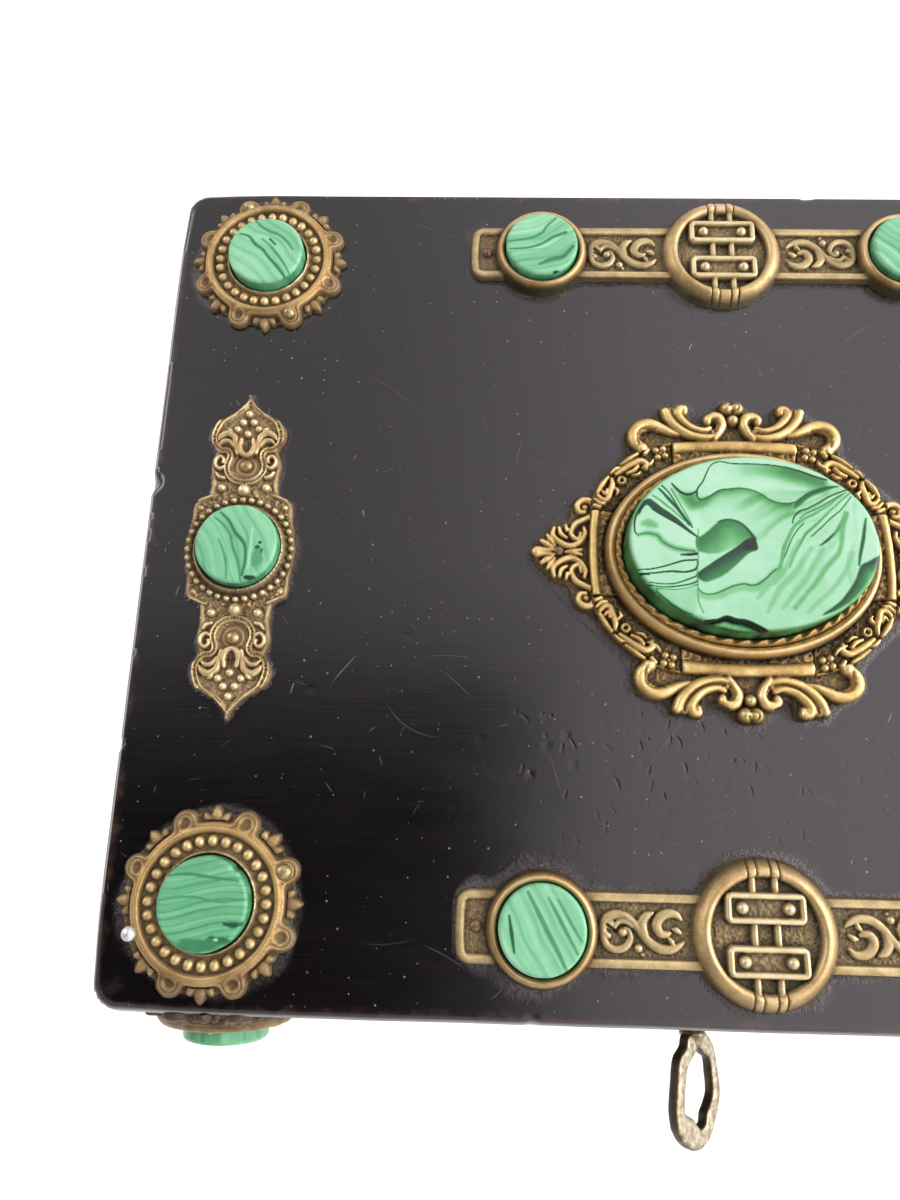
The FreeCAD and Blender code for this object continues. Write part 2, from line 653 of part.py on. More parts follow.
def countersink(x, y, z, axis):
    """The matching tapered hole through a thin plate whose face is at (x, y, z)."""
    d = {"z": (0, 0, 1), "-z": (0, 0, -1), "y": (0, 1, 0), "-y": (0, -1, 0)}[axis]
    g = D["hole_gap"]
    face = [Dim.of(p) - 0.4 * q for p, q in zip((x, y, z), d)]
    at = [Dim.of(p) + 0.1 * q for p, q in zip((x, y, z), d)]
    return fuse(
        rod(D["screw_head_r"] + g, 0.5, face[0], face[1], face[2], axis),
        cone(D["screw_head_r"] + g, D["screw_r"] + g, 0.9, at[0], at[1], at[2], axis),
        rod(D["screw_r"] + g, 6.0, at[0], at[1], at[2], axis),
    )


body_screws, lid_screws = [], []
knuckle = hl / 5
for side, s in (("left", -1), ("right", 1)):
    c = s * hx
    for leaf, sign in (("body", -1), ("lid", 1)):
        z0, z1 = (jz - lt, jz) if sign < 0 else (jz, jz + lt)
        solid = [box(c - hl / 2, c + hl / 2, ly, ly + lw, z0, z1)]
        gone = [rod(D["hinge_pin_r"] + D["bore_gap"], hl + 2, c - hl / 2 - 1, hy, jz, "x")]
        for k in ((-2, 0, 2) if sign < 0 else (-1, 1)):
            x0 = c + k * knuckle - knuckle / 2 + 0.1
            solid.append(box(x0, x0 + knuckle - 0.2, ly + lw - 1, hy, z0, z1))
            solid.append(rod(D["knuckle_r"], knuckle - 0.2, x0, hy, jz, "x"))
        axis = "-z" if sign < 0 else "z"
        for q in HINGE_SCREW_X:
            gone.append(countersink(c + q, screw_y, jz, axis))
            (body_screws if sign < 0 else lid_screws).append(screw(c + q, screw_y, jz, axis, D["screw_len"]))
        node(cut(fuse(*solid), *gone), "hinge_%s_%s_leaf" % (side, leaf))
    node(rod(D["hinge_pin_r"], hl + 0.2, c - hl / 2 - 0.1, hy, jz, "x"), "hinge_%s_pin" % side)
node(group(body_screws), "hinge_screws_body")
node(group(lid_screws), "hinge_screws_lid")

# ---------------------------------------------------------------- link-plate lock
lw2 = D["lock_w"] / 2
selv0 = jz - D["selv_t"]
gone = []
for q in (-1, 1):
    x = q * D["staple_x"]
    gone.append(box(x - D["staple_t"] / 2 - 0.5, x + D["staple_t"] / 2 + 0.5, case_y + 0.4, plate_y - 0.05, selv0 - 1, jz + 1))
for sx, sz in LOCK_SCREWS:
    gone.append(countersink(sx, in_y, sz, "-y"))
stump_x, stump_z = 14.6, 55.95
node(
    cut(
        fuse(
            box(-D["plate_w"] / 2, D["plate_w"] / 2, plate_y, in_y, D["plate_z"], jz),
            box(-lw2, lw2, case_y, plate_y + 0.2, selv0, jz),
            rod(D["stump_r"], 4.4, stump_x, plate_y, stump_z, "-y"),
        ),
        *gone
    ),
    "lock_plate",
)
wall = 1.0
node(
    cut(
        box(-lw2, lw2, case_y, plate_y, D["lock_z"], selv0),
        box(-lw2 + wall, lw2 - wall, case_y + D["case_t"], plate_y + 1, D["lock_z"] + wall, selv0 + 1),
        keyhole(case_y - 1, case_y + 2),
    ),
    "lock_case",
)
node(group([screw(sx, in_y, sz, "-y", D["screw_len"] - 1.0) for sx, sz in LOCK_SCREWS]), "lock_screws")
node(rod(D["drill_r"], 4.2, 0, plate_y, kz, "-y"), "drill_pin")

# the bolt: a bar with a talon for the key and two hooks that enter the staples
BOLT = [
    (-8.0, 54.5), (-1.5, 54.5), (-1.5, 56.4), (7.0, 56.4), (7.0, 54.5), (22.5, 54.5), (22.5, 63.0), (14.7, 63.0), (14.7, 60.4),
    (20.0, 60.4), (20.0, 57.4), (-3.5, 57.4), (-3.5, 63.0), (-11.3, 63.0), (-11.3, 60.4), (-6.0, 60.4), (-6.0, 57.4), (-8.0, 57.4),
]
bolt_y = case_y + 2.7
bolt = body("bolt_blank")
bsk = sketch(bolt, [(x, kz + (z - 50.0)) for x, z in BOLT], "XZ_Plane", lift=-(bolt_y + D["bolt_t"]))
bpad = pad(bolt, bsk, D["bolt_t"])
slot0, slot1 = stump_x - 0.9, stump_x + 4.2
node(
    cut(
        bolt,
        box(slot0, slot1, bolt_y - 1, bolt_y + 3, stump_z - 0.75, stump_z + 0.75),
        rod(0.75, 5, slot0, bolt_y - 1, stump_z, "y"),
        rod(0.75, 5, slot1, bolt_y - 1, stump_z, "y"),
    ),
    "lock_bolt",
)
spring = body("spring_blank")
ssk = sketch(
    spring,
    [(-1.4, 60.6), (3.8, 57.55), (9.2, 60.6), (9.2, 61.0), (3.8, 57.95), (-1.4, 61.0)],
    "XZ_Plane", lift=-plate_y,
)
pad(spring, ssk, 3.2)
node(spring, "bolt_spring")

# staples on the lid's link plate
solid = [box(-lw2, lw2, link_y0, link_y1, jz, jz + D["link_t"])]
gone = []
st0, st1 = case_y + 1.6, case_y + 5.1
for q in (-1, 1):
    x = q * D["staple_x"]
    solid.append(box(x - D["staple_t"] / 2, x + D["staple_t"] / 2, st0, st1, D["staple_z"], jz + 0.5))
    gone.append(box(x - 3, x + 3, st0 + 0.8, st1 - 0.8, D["staple_z"] + 1.7, D["staple_z"] + 5.6))
for q in LINK_SCREW_X:
    gone.append(countersink(q, (link_y0 + link_y1) / 2, jz, "z"))
node(cut(fuse(*solid), *gone), "link_plate")
node(group([screw(q, (link_y0 + link_y1) / 2, jz, "z", D["screw_len"]) for q in LINK_SCREW_X]), "link_plate_screws")

# escutcheon on the front board
esc_e = ellipse_block(D["esc_b"], D["esc_a"], 0, D["esc_t"])
esc_e.Placement = FreeCAD.Placement(V(0, 0, 0), FreeCAD.Rotation(V(1, 1, -1), 120))
bind(esc_e, ".Placement.Base.y", -half_d)
bind(esc_e, ".Placement.Base.z", kz - 1.5)
node(cut(esc_e, keyhole(-half_d - 3, -half_d + 3)), "escutcheon")

# ---------------------------------------------------------------- key
BOW = [
    (0.0, 2.1), (1.6, 3.6), (3.4, 5.2), (5.6, 6.7), (8.6, 7.7), (11.6, 8.1), (14.6, 7.7), (17.4, 6.5), (19.6, 4.6), (21.2, 2.6), (22.1, 0.9),
]
EYE = [(4.4, 1.4), (6.2, 3.3), (8.6, 4.7), (11.4, 5.1), (14.0, 4.6), (16.2, 3.2), (17.8, 1.4)]
by, bl, bw = D["bow_y"], D["bow_len"], D["bow_w"]


def bow_pt(s_, w_):
    return -(by + bl * (s_ / 22.1)), bw * (w_ / 8.1)


bow = doc.addObject("Sketcher::SketchObject", "bow_outline")
wire(bow, [bow_pt(a, b_) for a, b_ in BOW] + [bow_pt(a, -b_) for a, b_ in reversed(BOW)])
wire(bow, [bow_pt(a, b_) for a, b_ in EYE] + [bow_pt(a, -b_) for a, b_ in reversed(EYE)])
bow.Placement = FreeCAD.Placement(V(0, 0, 0), FreeCAD.Rotation(V(1, 1, 1), 120))
bow_x = doc.addObject("Part::Extrusion", "bow_plate")
bow_x.Base = bow
bow_x.DirMode = "Custom"
bow_x.Dir = V(1, 0, 0)
bow_x.Symmetric = True
bow_x.Solid = True
bow_x.FaceMakerClass = "Part::FaceMakerBullseye"
bind(bow_x, "LengthFwd", D["bow_t"])
tip = D["key_tip_y"]
key = cut(
    fuse(
        rod(D["shank_r"], by - tip + 1.2, 0, -by - 1.2, 0, "y"),
        rod(D["shank_r"] + 0.9, 1.6, 0, -by + 1.4, 0, "y"),
        rod(D["shank_r"] + 0.5, 1.0, 0, -by + 3.6, 0, "y"),
        bow_x,
        box(-D["bit_t"] / 2, D["bit_t"] / 2, -tip - 3.6, -tip - 1.0, -D["bit_len"], -1.5),
    ),
    rod(D["pipe_r"], 5.2, 0, -tip - 4.6, 0, "y"),
)
key.Placement = FreeCAD.Placement(V(0, 0, 0), FreeCAD.Rotation(V(0, -1, 0), 48.0))
bind(key, ".Placement.Rotation.Angle", D["key_tilt"])
bind(key, ".Placement.Base.z", kz)
node(key, "key")

# ---------------------------------------------------------------- lining
iw, idp, cd = half_w - t, half_d - t, D["card_t"]
b0, b1 = D["base_t"], jz - 0.6
l0, l1 = jz + 0.6, rim_top
node(
    group([
        cut(box(-iw, iw, -idp, -idp + cd, b0, b1), box(-D["plate_w"] / 2 - 1, D["plate_w"] / 2 + 1, -idp - 1, -idp + cd + 1, D["plate_z"] - 1, b1 + 1)),
        box(-iw, iw, idp - cd, idp, b0, b1),
        box(-iw, -iw + cd, -idp + cd, idp - cd, b0, b1),
        box(iw - cd, iw, -idp + cd, idp - cd, b0, b1),
    ]),
    "body_lining_cards",
)
node(
    group([
        box(-iw, iw, -idp, -idp + cd, l0, l1),
        box(-iw, iw, idp - cd, idp, l0, l1),
        box(-iw, -iw + cd, -idp + cd, idp - cd, l0, l1),
        box(iw - cd, iw, -idp + cd, idp - cd, l0, l1),
    ]),
    "lid_lining_cards",
)
pg = cd + D["pad_gap"]
node(box(-iw + pg, iw - pg, -idp + pg, idp - pg, b0, b0 + D["floor_pad_t"]), "floor_pad")
node(box(-iw + pg, iw - pg, -idp + pg, idp - pg, rim_top - D["lid_pad_t"], rim_top), "lid_pad")

# ---------------------------------------------------------------- check and write
doc.recompute()
bad = [o.Name for o in doc.Objects if any(w in o.State for w in ("Invalid", "Error"))]
for o in NODES:
    if o.Shape.isNull() or not o.Shape.isValid() or not o.Shape.Solids:
        bad.append(o.Label)
if bad:
    raise RuntimeError("failed objects: " + ", ".join(bad))
labels = [o.Label for o in NODES]
if len(set(labels)) != len(labels) or len(labels) > 60:
    raise RuntimeError("names are not unique, or too many pieces")
os.makedirs("parts", exist_ok=True)
for o in NODES:
    o.Shape.exportStep(os.path.join("parts", o.Label + ".step"))
    bb = o.Shape.BoundBox
    print("%-26s solids %2d  vol %10.1f  x %.1f..%.1f  y %.1f..%.1f  z %.1f..%.1f" % (
        o.Label, len(o.Shape.Solids), o.Shape.Volume, bb.XMin, bb.XMax, bb.YMin, bb.YMax, bb.ZMin, bb.ZMax))
print(len(labels), "pieces")
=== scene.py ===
import bpy
import math
import numpy as np
from mathutils import Matrix


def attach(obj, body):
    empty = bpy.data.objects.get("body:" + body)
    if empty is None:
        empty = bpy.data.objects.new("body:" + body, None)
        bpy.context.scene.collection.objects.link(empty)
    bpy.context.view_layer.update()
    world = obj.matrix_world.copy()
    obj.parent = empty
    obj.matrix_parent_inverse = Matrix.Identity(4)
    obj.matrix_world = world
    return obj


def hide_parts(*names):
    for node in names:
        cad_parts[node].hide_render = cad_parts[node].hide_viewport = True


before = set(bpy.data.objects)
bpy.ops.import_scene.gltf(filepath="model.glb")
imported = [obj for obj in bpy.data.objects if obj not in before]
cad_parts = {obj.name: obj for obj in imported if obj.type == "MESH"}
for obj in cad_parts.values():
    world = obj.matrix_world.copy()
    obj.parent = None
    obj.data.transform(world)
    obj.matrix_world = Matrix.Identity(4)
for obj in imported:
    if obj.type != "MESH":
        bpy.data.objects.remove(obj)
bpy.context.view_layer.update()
TOP = 105.0
PI = math.pi


# ---------------------------------------------------------------- fields
def sstep(a, b, x):
    t = np.clip((x - a) / (b - a), 0.0, 1.0)
    return t * t * (3.0 - 2.0 * t)


def hr(d, w):
    """Half-round cross-section: 1 on the middle line, 0 at the half-width w."""
    return np.sqrt(np.clip(1.0 - (d / w) ** 2, 0.0, 1.0))


def bell(d, w):
    return np.exp(-(d / w) ** 2)


class Noise:
    def __init__(self, seed):
        self.t = np.random.RandomState(seed).rand(128, 128)

    def __call__(self, x, y):
        xi = np.floor(x).astype(int)
        yi = np.floor(y).astype(int)
        fx, fy = x - xi, y - yi
        fx = fx * fx * (3 - 2 * fx)
        fy = fy * fy * (3 - 2 * fy)
        t = self.t
        x0, x1, y0, y1 = xi % 128, (xi + 1) % 128, yi % 128, (yi + 1) % 128
        a = t[y0, x0] * (1 - fx) + t[y0, x1] * fx
        b = t[y1, x0] * (1 - fx) + t[y1, x1] * fx
        return a * (1 - fy) + b * fy - 0.5

    def fbm(self, x, y, octaves=4):
        s, a, f = 0.0, 1.0, 1.0
        for i in range(octaves):
            s = s + a * self(x * f + 17.3 * i, y * f + 5.1 * i)
            a *= 0.5
            f *= 2.03
        return s


def fold(th, n, off=0.0):
    p = 2 * PI / n
    return th - off - p * np.round((th - off) / p)


def spline(pts, per=8, closed=False):
    P = np.asarray(pts, float)
    if closed:
        Q = np.vstack([P[-1], P, P[0], P[1]])
    else:
        Q = np.vstack([2 * P[0] - P[1], P, 2 * P[-1] - P[-2]])
    out = []
    t = np.linspace(0, 1, per, endpoint=False)[:, None]
    for i in range(1, len(Q) - 2):
        p0, p1, p2, p3 = Q[i - 1], Q[i], Q[i + 1], Q[i + 2]
        out.append(0.5 * (2 * p1 + (p2 - p0) * t + (2 * p0 - 5 * p1 + 4 * p2 - p3) * t ** 2 + (3 * p1 - p0 - 3 * p2 + p3) * t ** 3))
    out = np.vstack(out)
    return out if closed else np.vstack([out, P[-1]])


def poly(x, y, P):
    """Signed distance to a closed polygon, and the length along its edge of the nearest point."""
    d = np.full(x.shape, 1e9)
    s = np.zeros(x.shape)
    inside = np.zeros(x.shape, bool)
    run = 0.0
    n = len(P)
    for i in range(n):
        ax, ay = P[i]
        bx, by = P[(i + 1) % n]
        dx, dy = bx - ax, by - ay
        L = math.hypot(dx, dy)
        t = np.clip(((x - ax) * dx + (y - ay) * dy) / (L * L + 1e-12), 0, 1)
        q = (x - ax - t * dx) ** 2 + (y - ay - t * dy) ** 2
        near = q < d
        d = np.where(near, q, d)
        s = np.where(near, run + t * L, s)
        if by != ay:
            inside ^= ((ay > y) != (by > y)) & (x < dx * (y - ay) / (by - ay) + ax)
        run += L
    d = np.sqrt(d)
    return np.where(inside, -d, d), s


def ell(x, y, a, b):
    """Signed distance to an ellipse, exact on its edge."""
    k0 = np.hypot(x / a, y / b)
    k1 = np.hypot(x / (a * a), y / (b * b))
    return np.where(k1 > 1e-9, k0 * (k0 - 1.0) / np.maximum(k1, 1e-9), -min(a, b))


def rbox(x, y, hx, hy, r):
    qx = np.abs(x) - hx + r
    qy = np.abs(y) - hy + r
    return np.hypot(np.maximum(qx, 0), np.maximum(qy, 0)) + np.minimum(np.maximum(qx, qy), 0) - r


class Line:
    """A tapering line through points: its distance (past its own half-width) and its half-round height."""

    def __init__(self, pts, w, per=6, smooth=True):
        self.P = spline(pts, per) if smooth else np.asarray(pts, float)
        n = len(self.P)
        w = w if isinstance(w, (list, tuple)) else [w, w]
        self.W = np.interp(np.linspace(0, 1, n), np.linspace(0, 1, len(w)), w)

    def eval(self, x, y, pad=1.5):
        w = self.W.max() + pad
        lo, hi = self.P.min(0) - w, self.P.max(0) + w
        m = (x > lo[0]) & (x < hi[0]) & (y > lo[1]) & (y < hi[1])
        best = np.zeros(x.shape)
        dist = np.full(x.shape, 99.0)
        if not m.any():
            return best, dist
        px, py = x[m], y[m]
        b = np.zeros(px.shape)
        dd = np.full(px.shape, 99.0)
        wm = self.W.max()
        for i in range(len(self.P) - 1):
            ax, ay = self.P[i]
            dx, dy = self.P[i + 1] - self.P[i]
            L2 = dx * dx + dy * dy + 1e-12
            t = np.clip(((px - ax) * dx + (py - ay) * dy) / L2, 0, 1)
            d = np.hypot(px - ax - t * dx, py - ay - t * dy)
            ww = self.W[i] + (self.W[i + 1] - self.W[i]) * t
            b = np.maximum(b, hr(d, ww) * np.sqrt(ww / wm))
            dd = np.minimum(dd, d - ww)
        best[m] = b
        dist[m] = dd
        return best, dist


def blur(a, n):
    """Three box blurs of half-width n along both axes."""
    for axis in (0, 1):
        for _ in range(3):
            p = np.pad(a, [(n + 1, n) if k == axis else (0, 0) for k in (0, 1)], mode="edge")
            c = np.cumsum(p, axis=axis)
            k = 2 * n + 1
            a = (np.take(c, range(k, c.shape[axis]), axis=axis) - np.take(c, range(0, c.shape[axis] - k), axis=axis)) / k
    return a


# ---------------------------------------------------------------- meshes
def make_mesh(name, verts, quads, tris, ngons=(), attrs=None, sharp=48.0):
    me = bpy.data.meshes.new(name)
    loops = [np.asarray(quads, np.int32).reshape(-1), np.asarray(tris, np.int32).reshape(-1)]
    sizes = [np.full(len(quads), 4, np.int32), np.full(len(tris), 3, np.int32)]
    for g in ngons:
        loops.append(np.asarray(g, np.int32))
        sizes.append(np.array([len(g)], np.int32))
    loops = np.concatenate(loops)
    sizes = np.concatenate(sizes)
    starts = np.concatenate([[0], np.cumsum(sizes)[:-1]]).astype(np.int32)
    me.vertices.add(len(verts))
    me.vertices.foreach_set("co", np.ascontiguousarray(verts, np.float32).reshape(-1))
    me.loops.add(len(loops))
    me.loops.foreach_set("vertex_index", loops)
    me.polygons.add(len(sizes))
    me.polygons.foreach_set("loop_start", starts)
    me.polygons.foreach_set("use_smooth", np.ones(len(sizes), bool))
    me.update(calc_edges=True)
    for key, val in (attrs or {}).items():
        a = me.attributes.new(key, "FLOAT", "POINT")
        a.data.foreach_set("value", np.ascontiguousarray(val, np.float32))
    me.validate()
    if sharp:
        me.set_sharp_from_angle(angle=math.radians(sharp))
    o = bpy.data.objects.new(name, me)
    bpy.context.scene.collection.objects.link(o)
    return o


def on_lid(cx, cy, rot=0.0):
    c, s = math.cos(rot), math.sin(rot)
    return lambda x, y, h: np.stack([cx + c * x - s * y, cy + s * x + c * y, TOP + h], -1) * 0.001


def on_rim(cx, cz):
    return lambda x, y, h: np.stack([cx + x, -84.0 - h, cz + y], -1) * 0.001


def relief(name, sdf, height, box, step, place, low=0.0, tone=None, side=None, reach=3, more=None):
    """A closed solid whose top is a height field inside an outline, with walls down to low and a flat underside."""
    x0, x1, y0, y1 = box
    nx, ny = int(round((x1 - x0) / step)) + 1, int(round((y1 - y0) / step)) + 1
    X, Y = np.meshgrid(np.linspace(x0, x1, nx), np.linspace(y0, y1, ny))
    S = sdf(X, Y)
    gy, gx = np.gradient(S, step)
    g2 = np.maximum(gx * gx + gy * gy, 0.3)
    near = np.abs(S) < 0.62 * step
    mx = np.where(near, X - S * gx / g2, X)
    my = np.where(near, Y - S * gy / g2, Y)
    ok = (S < 0) | near
    q = np.arange(nx * ny).reshape(ny, nx)
    cell = np.stack([q[:-1, :-1], q[:-1, 1:], q[1:, 1:], q[1:, :-1]], -1).reshape(-1, 4)
    inn = ok.reshape(-1)[cell]
    k = inn.sum(1)
    quads = cell[k == 4]
    three = cell[k == 3]
    tin = inn[k == 3]
    tris = three[tin].reshape(-1, 3) if len(three) else np.zeros((0, 3), int)
    H = height(X, Y)
    mask = sstep(0.0, -step, S)
    hb = blur(H * mask, reach) / np.maximum(blur(mask, reach), 0.05)
    hb2 = blur(H * mask, reach * 3) / np.maximum(blur(mask, reach * 3), 0.05)
    # how far each point stands above its blurred surroundings: raised parts come out lighter and hollows darker,
    # painted highlight and shade on the relief along with real wear
    wear = (H - hb) * 1.0 + (H - hb2) * 0.35
    used = np.unique(np.concatenate([quads.reshape(-1), tris.reshape(-1)]))
    remap = np.full(nx * ny, -1)
    remap[used] = np.arange(len(used))
    quads, tris = remap[quads], remap[tris]
    vx, vy = mx.reshape(-1)[used], my.reshape(-1)[used]
    vh = height(vx, vy)
    attrs = {"wear": wear.reshape(-1)[used], "high": vh}
    if tone is not None:
        attrs["tone"] = tone(vx, vy)
    for key, field in (more or {}).items():
        attrs[key] = field(vx, vy)
    # border edges, with the surface on their left
    e = np.concatenate([quads[:, [0, 1]], quads[:, [1, 2]], quads[:, [2, 3]], quads[:, [3, 0]], tris[:, [0, 1]], tris[:, [1, 2]], tris[:, [2, 0]]])
    n = len(used)
    code = e[:, 0].astype(np.int64) * n + e[:, 1]
    back = e[:, 1].astype(np.int64) * n + e[:, 0]
    edge = e[~np.isin(code, back)]
    bv = np.unique(edge)
    lowid = np.full(n, -1)
    lowid[bv] = n + np.arange(len(bv))
    wall = np.stack([edge[:, 1], edge[:, 0], lowid[edge[:, 0]], lowid[edge[:, 1]]], -1)
    vert = np.concatenate([place(vx, vy, vh), place(vx[bv], vy[bv], np.full(len(bv), low))])
    for key in attrs:
        extra = attrs[key][bv]
        # wall tops are pulled toward the middle value and wall feet set dark: painted shade at the foot of the walls
        if key == "wear":
            extra = np.full(len(bv), -0.35)
            attrs[key][bv] *= 0.4
        # stone walls take the side tone, a fifth darker at their foot: painted shade toward the foot
        if key == "tone" and side is not None:
            sv = side(vx[bv], vy[bv])
            attrs[key][bv] = sv
            extra = sv * 0.8
        attrs[key] = np.concatenate([attrs[key], extra])
    nxt = {}
    for a, b in edge.tolist():
        nxt.setdefault(a, []).append(b)
    loops = []
    while nxt:
        a = next(iter(nxt))
        loop = []
        while a in nxt:
            loop.append(a)
            b = nxt[a].pop()
            if not nxt[a]:
                del nxt[a]
            a = b
        loops.append(loop)
    caps = [[int(lowid[v]) for v in reversed(L)] for L in loops if len(L) > 2]
    o = make_mesh(name, vert, np.concatenate([quads, wall]), tris, caps, attrs)
    print("mesh", name, len(vert), "verts", len(loops), "loops")
    return o


def ring_sweep(name, path, prof, place, attrs=None):
    """A closed ring: prof(t) gives the (outward, height) points of the cross-section at each point of an oval path."""
    n = len(path)
    nxt = np.roll(path, -1, 0)
    prv = np.roll(path, 1, 0)
    tang = nxt - prv
    tang /= np.hypot(tang[:, 0], tang[:, 1])[:, None]
    out = np.stack([tang[:, 1], -tang[:, 0]], -1)
    rows = []
    hs = []
    for i in range(n):
        p = np.asarray(prof(i / n))
        rows.append(np.column_stack([path[i, 0] + out[i, 0] * p[:, 0], path[i, 1] + out[i, 1] * p[:, 0], p[:, 1]]))
        hs.append(p[:, 1])
    m = len(rows[0])
    V = np.vstack(rows)
    hs = np.concatenate(hs)
    a = np.arange(n)[:, None] * m + np.arange(m)[None, :]
    b = np.roll(a, -1, 0)
    quads = np.stack([a, b, np.roll(b, -1, 1), np.roll(a, -1, 1)], -1).reshape(-1, 4)
    # higher points of the strip lighter, lower ones darker: painted light and shade
    wear = (hs - hs.min()) / (hs.max() - hs.min()) * 0.5 - 0.3
    return make_mesh(name, place(V[:, 0], V[:, 1], V[:, 2]), quads, np.zeros((0, 3), int), (), {"wear": wear, "high": hs})


def join_parts(name, parts, attrs_of=None):
    """Several (verts, quads, tris, material index, attribute dict) as one object."""
    V, Q, T, mi, off = [], [], [], [], 0
    at = {}
    for v, q, t, m, a in parts:
        V.append(v)
        if len(q):
            Q.append(np.asarray(q) + off)
        if len(t):
            T.append(np.asarray(t) + off)
        off += len(v)
        for k, val in a.items():
            at.setdefault(k, []).append(np.broadcast_to(val, (len(v),)))
    mq = np.concatenate([np.full(len(p[1]), p[3]) for p in parts if len(p[1])] + [np.full(len(p[2]), p[3]) for p in parts if len(p[2])])
    o = make_mesh(name, np.vstack(V), np.vstack(Q) if Q else np.zeros((0, 4), int), np.vstack(T) if T else np.zeros((0, 3), int), (),
                  {k: np.concatenate(v) for k, v in at.items()})
    o.data.polygons.foreach_set("material_index", mq.astype(np.int32))
    return o


def lathe(prof, n, place, squash=1.0):
    """Revolves (radius, height) points, the first and the last on the axis, into a closed solid."""
    P = np.asarray(prof, float)
    th = np.arange(n) * 2 * PI / n
    V = [place(np.array([0.0]), np.array([0.0]), np.array([P[0, 1]]))]
    for r, h in P[1:-1]:
        V.append(place(r * np.cos(th), r * np.sin(th) * squash, np.full(n, h)))
    V.append(place(np.array([0.0]), np.array([0.0]), np.array([P[-1, 1]])))
    V = np.vstack(V)
    m = len(P) - 2
    quads, tris = [], []
    for i in range(n):
        j = (i + 1) % n
        tris.append((0, 1 + i, 1 + j))
        for k in range(m - 1):
            quads.append((1 + k * n + i, 1 + (k + 1) * n + i, 1 + (k + 1) * n + j, 1 + k * n + j))
        tris.append((len(V) - 1, 1 + (m - 1) * n + j, 1 + (m - 1) * n + i))
    return V, np.array(quads).reshape(-1, 4), np.array(tris).reshape(-1, 3)


# ---------------------------------------------------------------- materials
def lin(c):
    c = np.asarray(c, float) / 255.0
    return tuple(float(v) for v in np.where(c <= 0.04045, c / 12.92, ((c + 0.055) / 1.055) ** 2.4)) + (1.0,)


class Graph:
    def __init__(self, name):
        self.mat = bpy.data.materials.new(name)
        self.mat.use_nodes = True
        self.nt = self.mat.node_tree
        self.nt.nodes.clear()
        self.out = self.nt.nodes.new("ShaderNodeOutputMaterial")
        self.bsdf = self.nt.nodes.new("ShaderNodeBsdfPrincipled")
        self.nt.links.new(self.bsdf.outputs[0], self.out.inputs[0])

    def put(self, sock, v):
        if isinstance(v, bpy.types.NodeSocket):
            self.nt.links.new(v, sock)
        elif v is not None:
            sock.default_value = v

    def set(self, **kw):
        for k, v in kw.items():
            self.put(self.bsdf.inputs[k.replace("_", " ")], v)
        return self

    def node(self, kind, **props):
        n = self.nt.nodes.new(kind)
        for k, v in props.items():
            setattr(n, k, v)
        return n

    def coord(self, sx=1000.0, sy=1000.0, sz=1000.0):
        t = self.node("ShaderNodeTexCoord")
        m = self.node("ShaderNodeMapping")
        self.nt.links.new(t.outputs["Object"], m.inputs["Vector"])
        m.inputs["Scale"].default_value = (sx, sy, sz)
        return m.outputs[0]

    def attr(self, name):
        n = self.node("ShaderNodeAttribute", attribute_name=name)
        return n.outputs["Fac"]

    def noise(self, vec, scale, detail=3.0, rough=0.55, dist=0.0):
        n = self.node("ShaderNodeTexNoise")
        self.put(n.inputs["Vector"], vec)
        self.put(n.inputs["Scale"], scale)
        self.put(n.inputs["Detail"], detail)
        self.put(n.inputs["Roughness"], rough)
        self.put(n.inputs["Distortion"], dist)
        return n.outputs[0]

    def voronoi(self, vec, scale, feature="F1", rand=1.0):
        n = self.node("ShaderNodeTexVoronoi", feature=feature)
        self.put(n.inputs["Vector"], vec)
        self.put(n.inputs["Scale"], scale)
        self.put(n.inputs["Randomness"], rand)
        return n.outputs["Distance"]

    def ramp(self, fac, stops, mode="LINEAR"):
        n = self.node("ShaderNodeValToRGB")
        n.color_ramp.interpolation = mode
        els = n.color_ramp.elements
        while len(els) < len(stops):
            els.new(0.5)
        for e, (p, c) in zip(els, stops):
            e.position = p
            e.color = c if len(c) == 4 else lin(c)
        self.put(n.inputs["Fac"], fac)
        return n.outputs["Color"]

    def rng(self, v, a, b, c=0.0, d=1.0, smooth=False):
        n = self.node("ShaderNodeMapRange", interpolation_type="SMOOTHSTEP" if smooth else "LINEAR")
        for k, val in zip(("Value", "From Min", "From Max", "To Min", "To Max"), (v, a, b, c, d)):
            self.put(n.inputs[k], val)
        return n.outputs[0]

    def math(self, op, a, b=None, c=None):
        n = self.node("ShaderNodeMath", operation=op)
        self.put(n.inputs[0], a)
        self.put(n.inputs[1], b)
        self.put(n.inputs[2], c)
        return n.outputs[0]

    def mix(self, fac, a, b, mode="MIX"):
        n = self.node("ShaderNodeMix", data_type="RGBA", blend_type=mode)
        self.put(n.inputs[0], fac)
        self.put(n.inputs[6], a)
        self.put(n.inputs[7], b)
        return n.outputs[2]

    def xyz(self, vec):
        n = self.node("ShaderNodeSeparateXYZ")
        self.put(n.inputs[0], vec)
        return n.outputs

    def bump(self, h, strength, dist=0.001, prev=None):
        n = self.node("ShaderNodeBump")
        n.inputs["Strength"].default_value = strength
        n.inputs["Distance"].default_value = dist
        self.put(n.inputs["Height"], h)
        if prev is not None:
            self.put(n.inputs["Normal"], prev)
        return n.outputs[0]


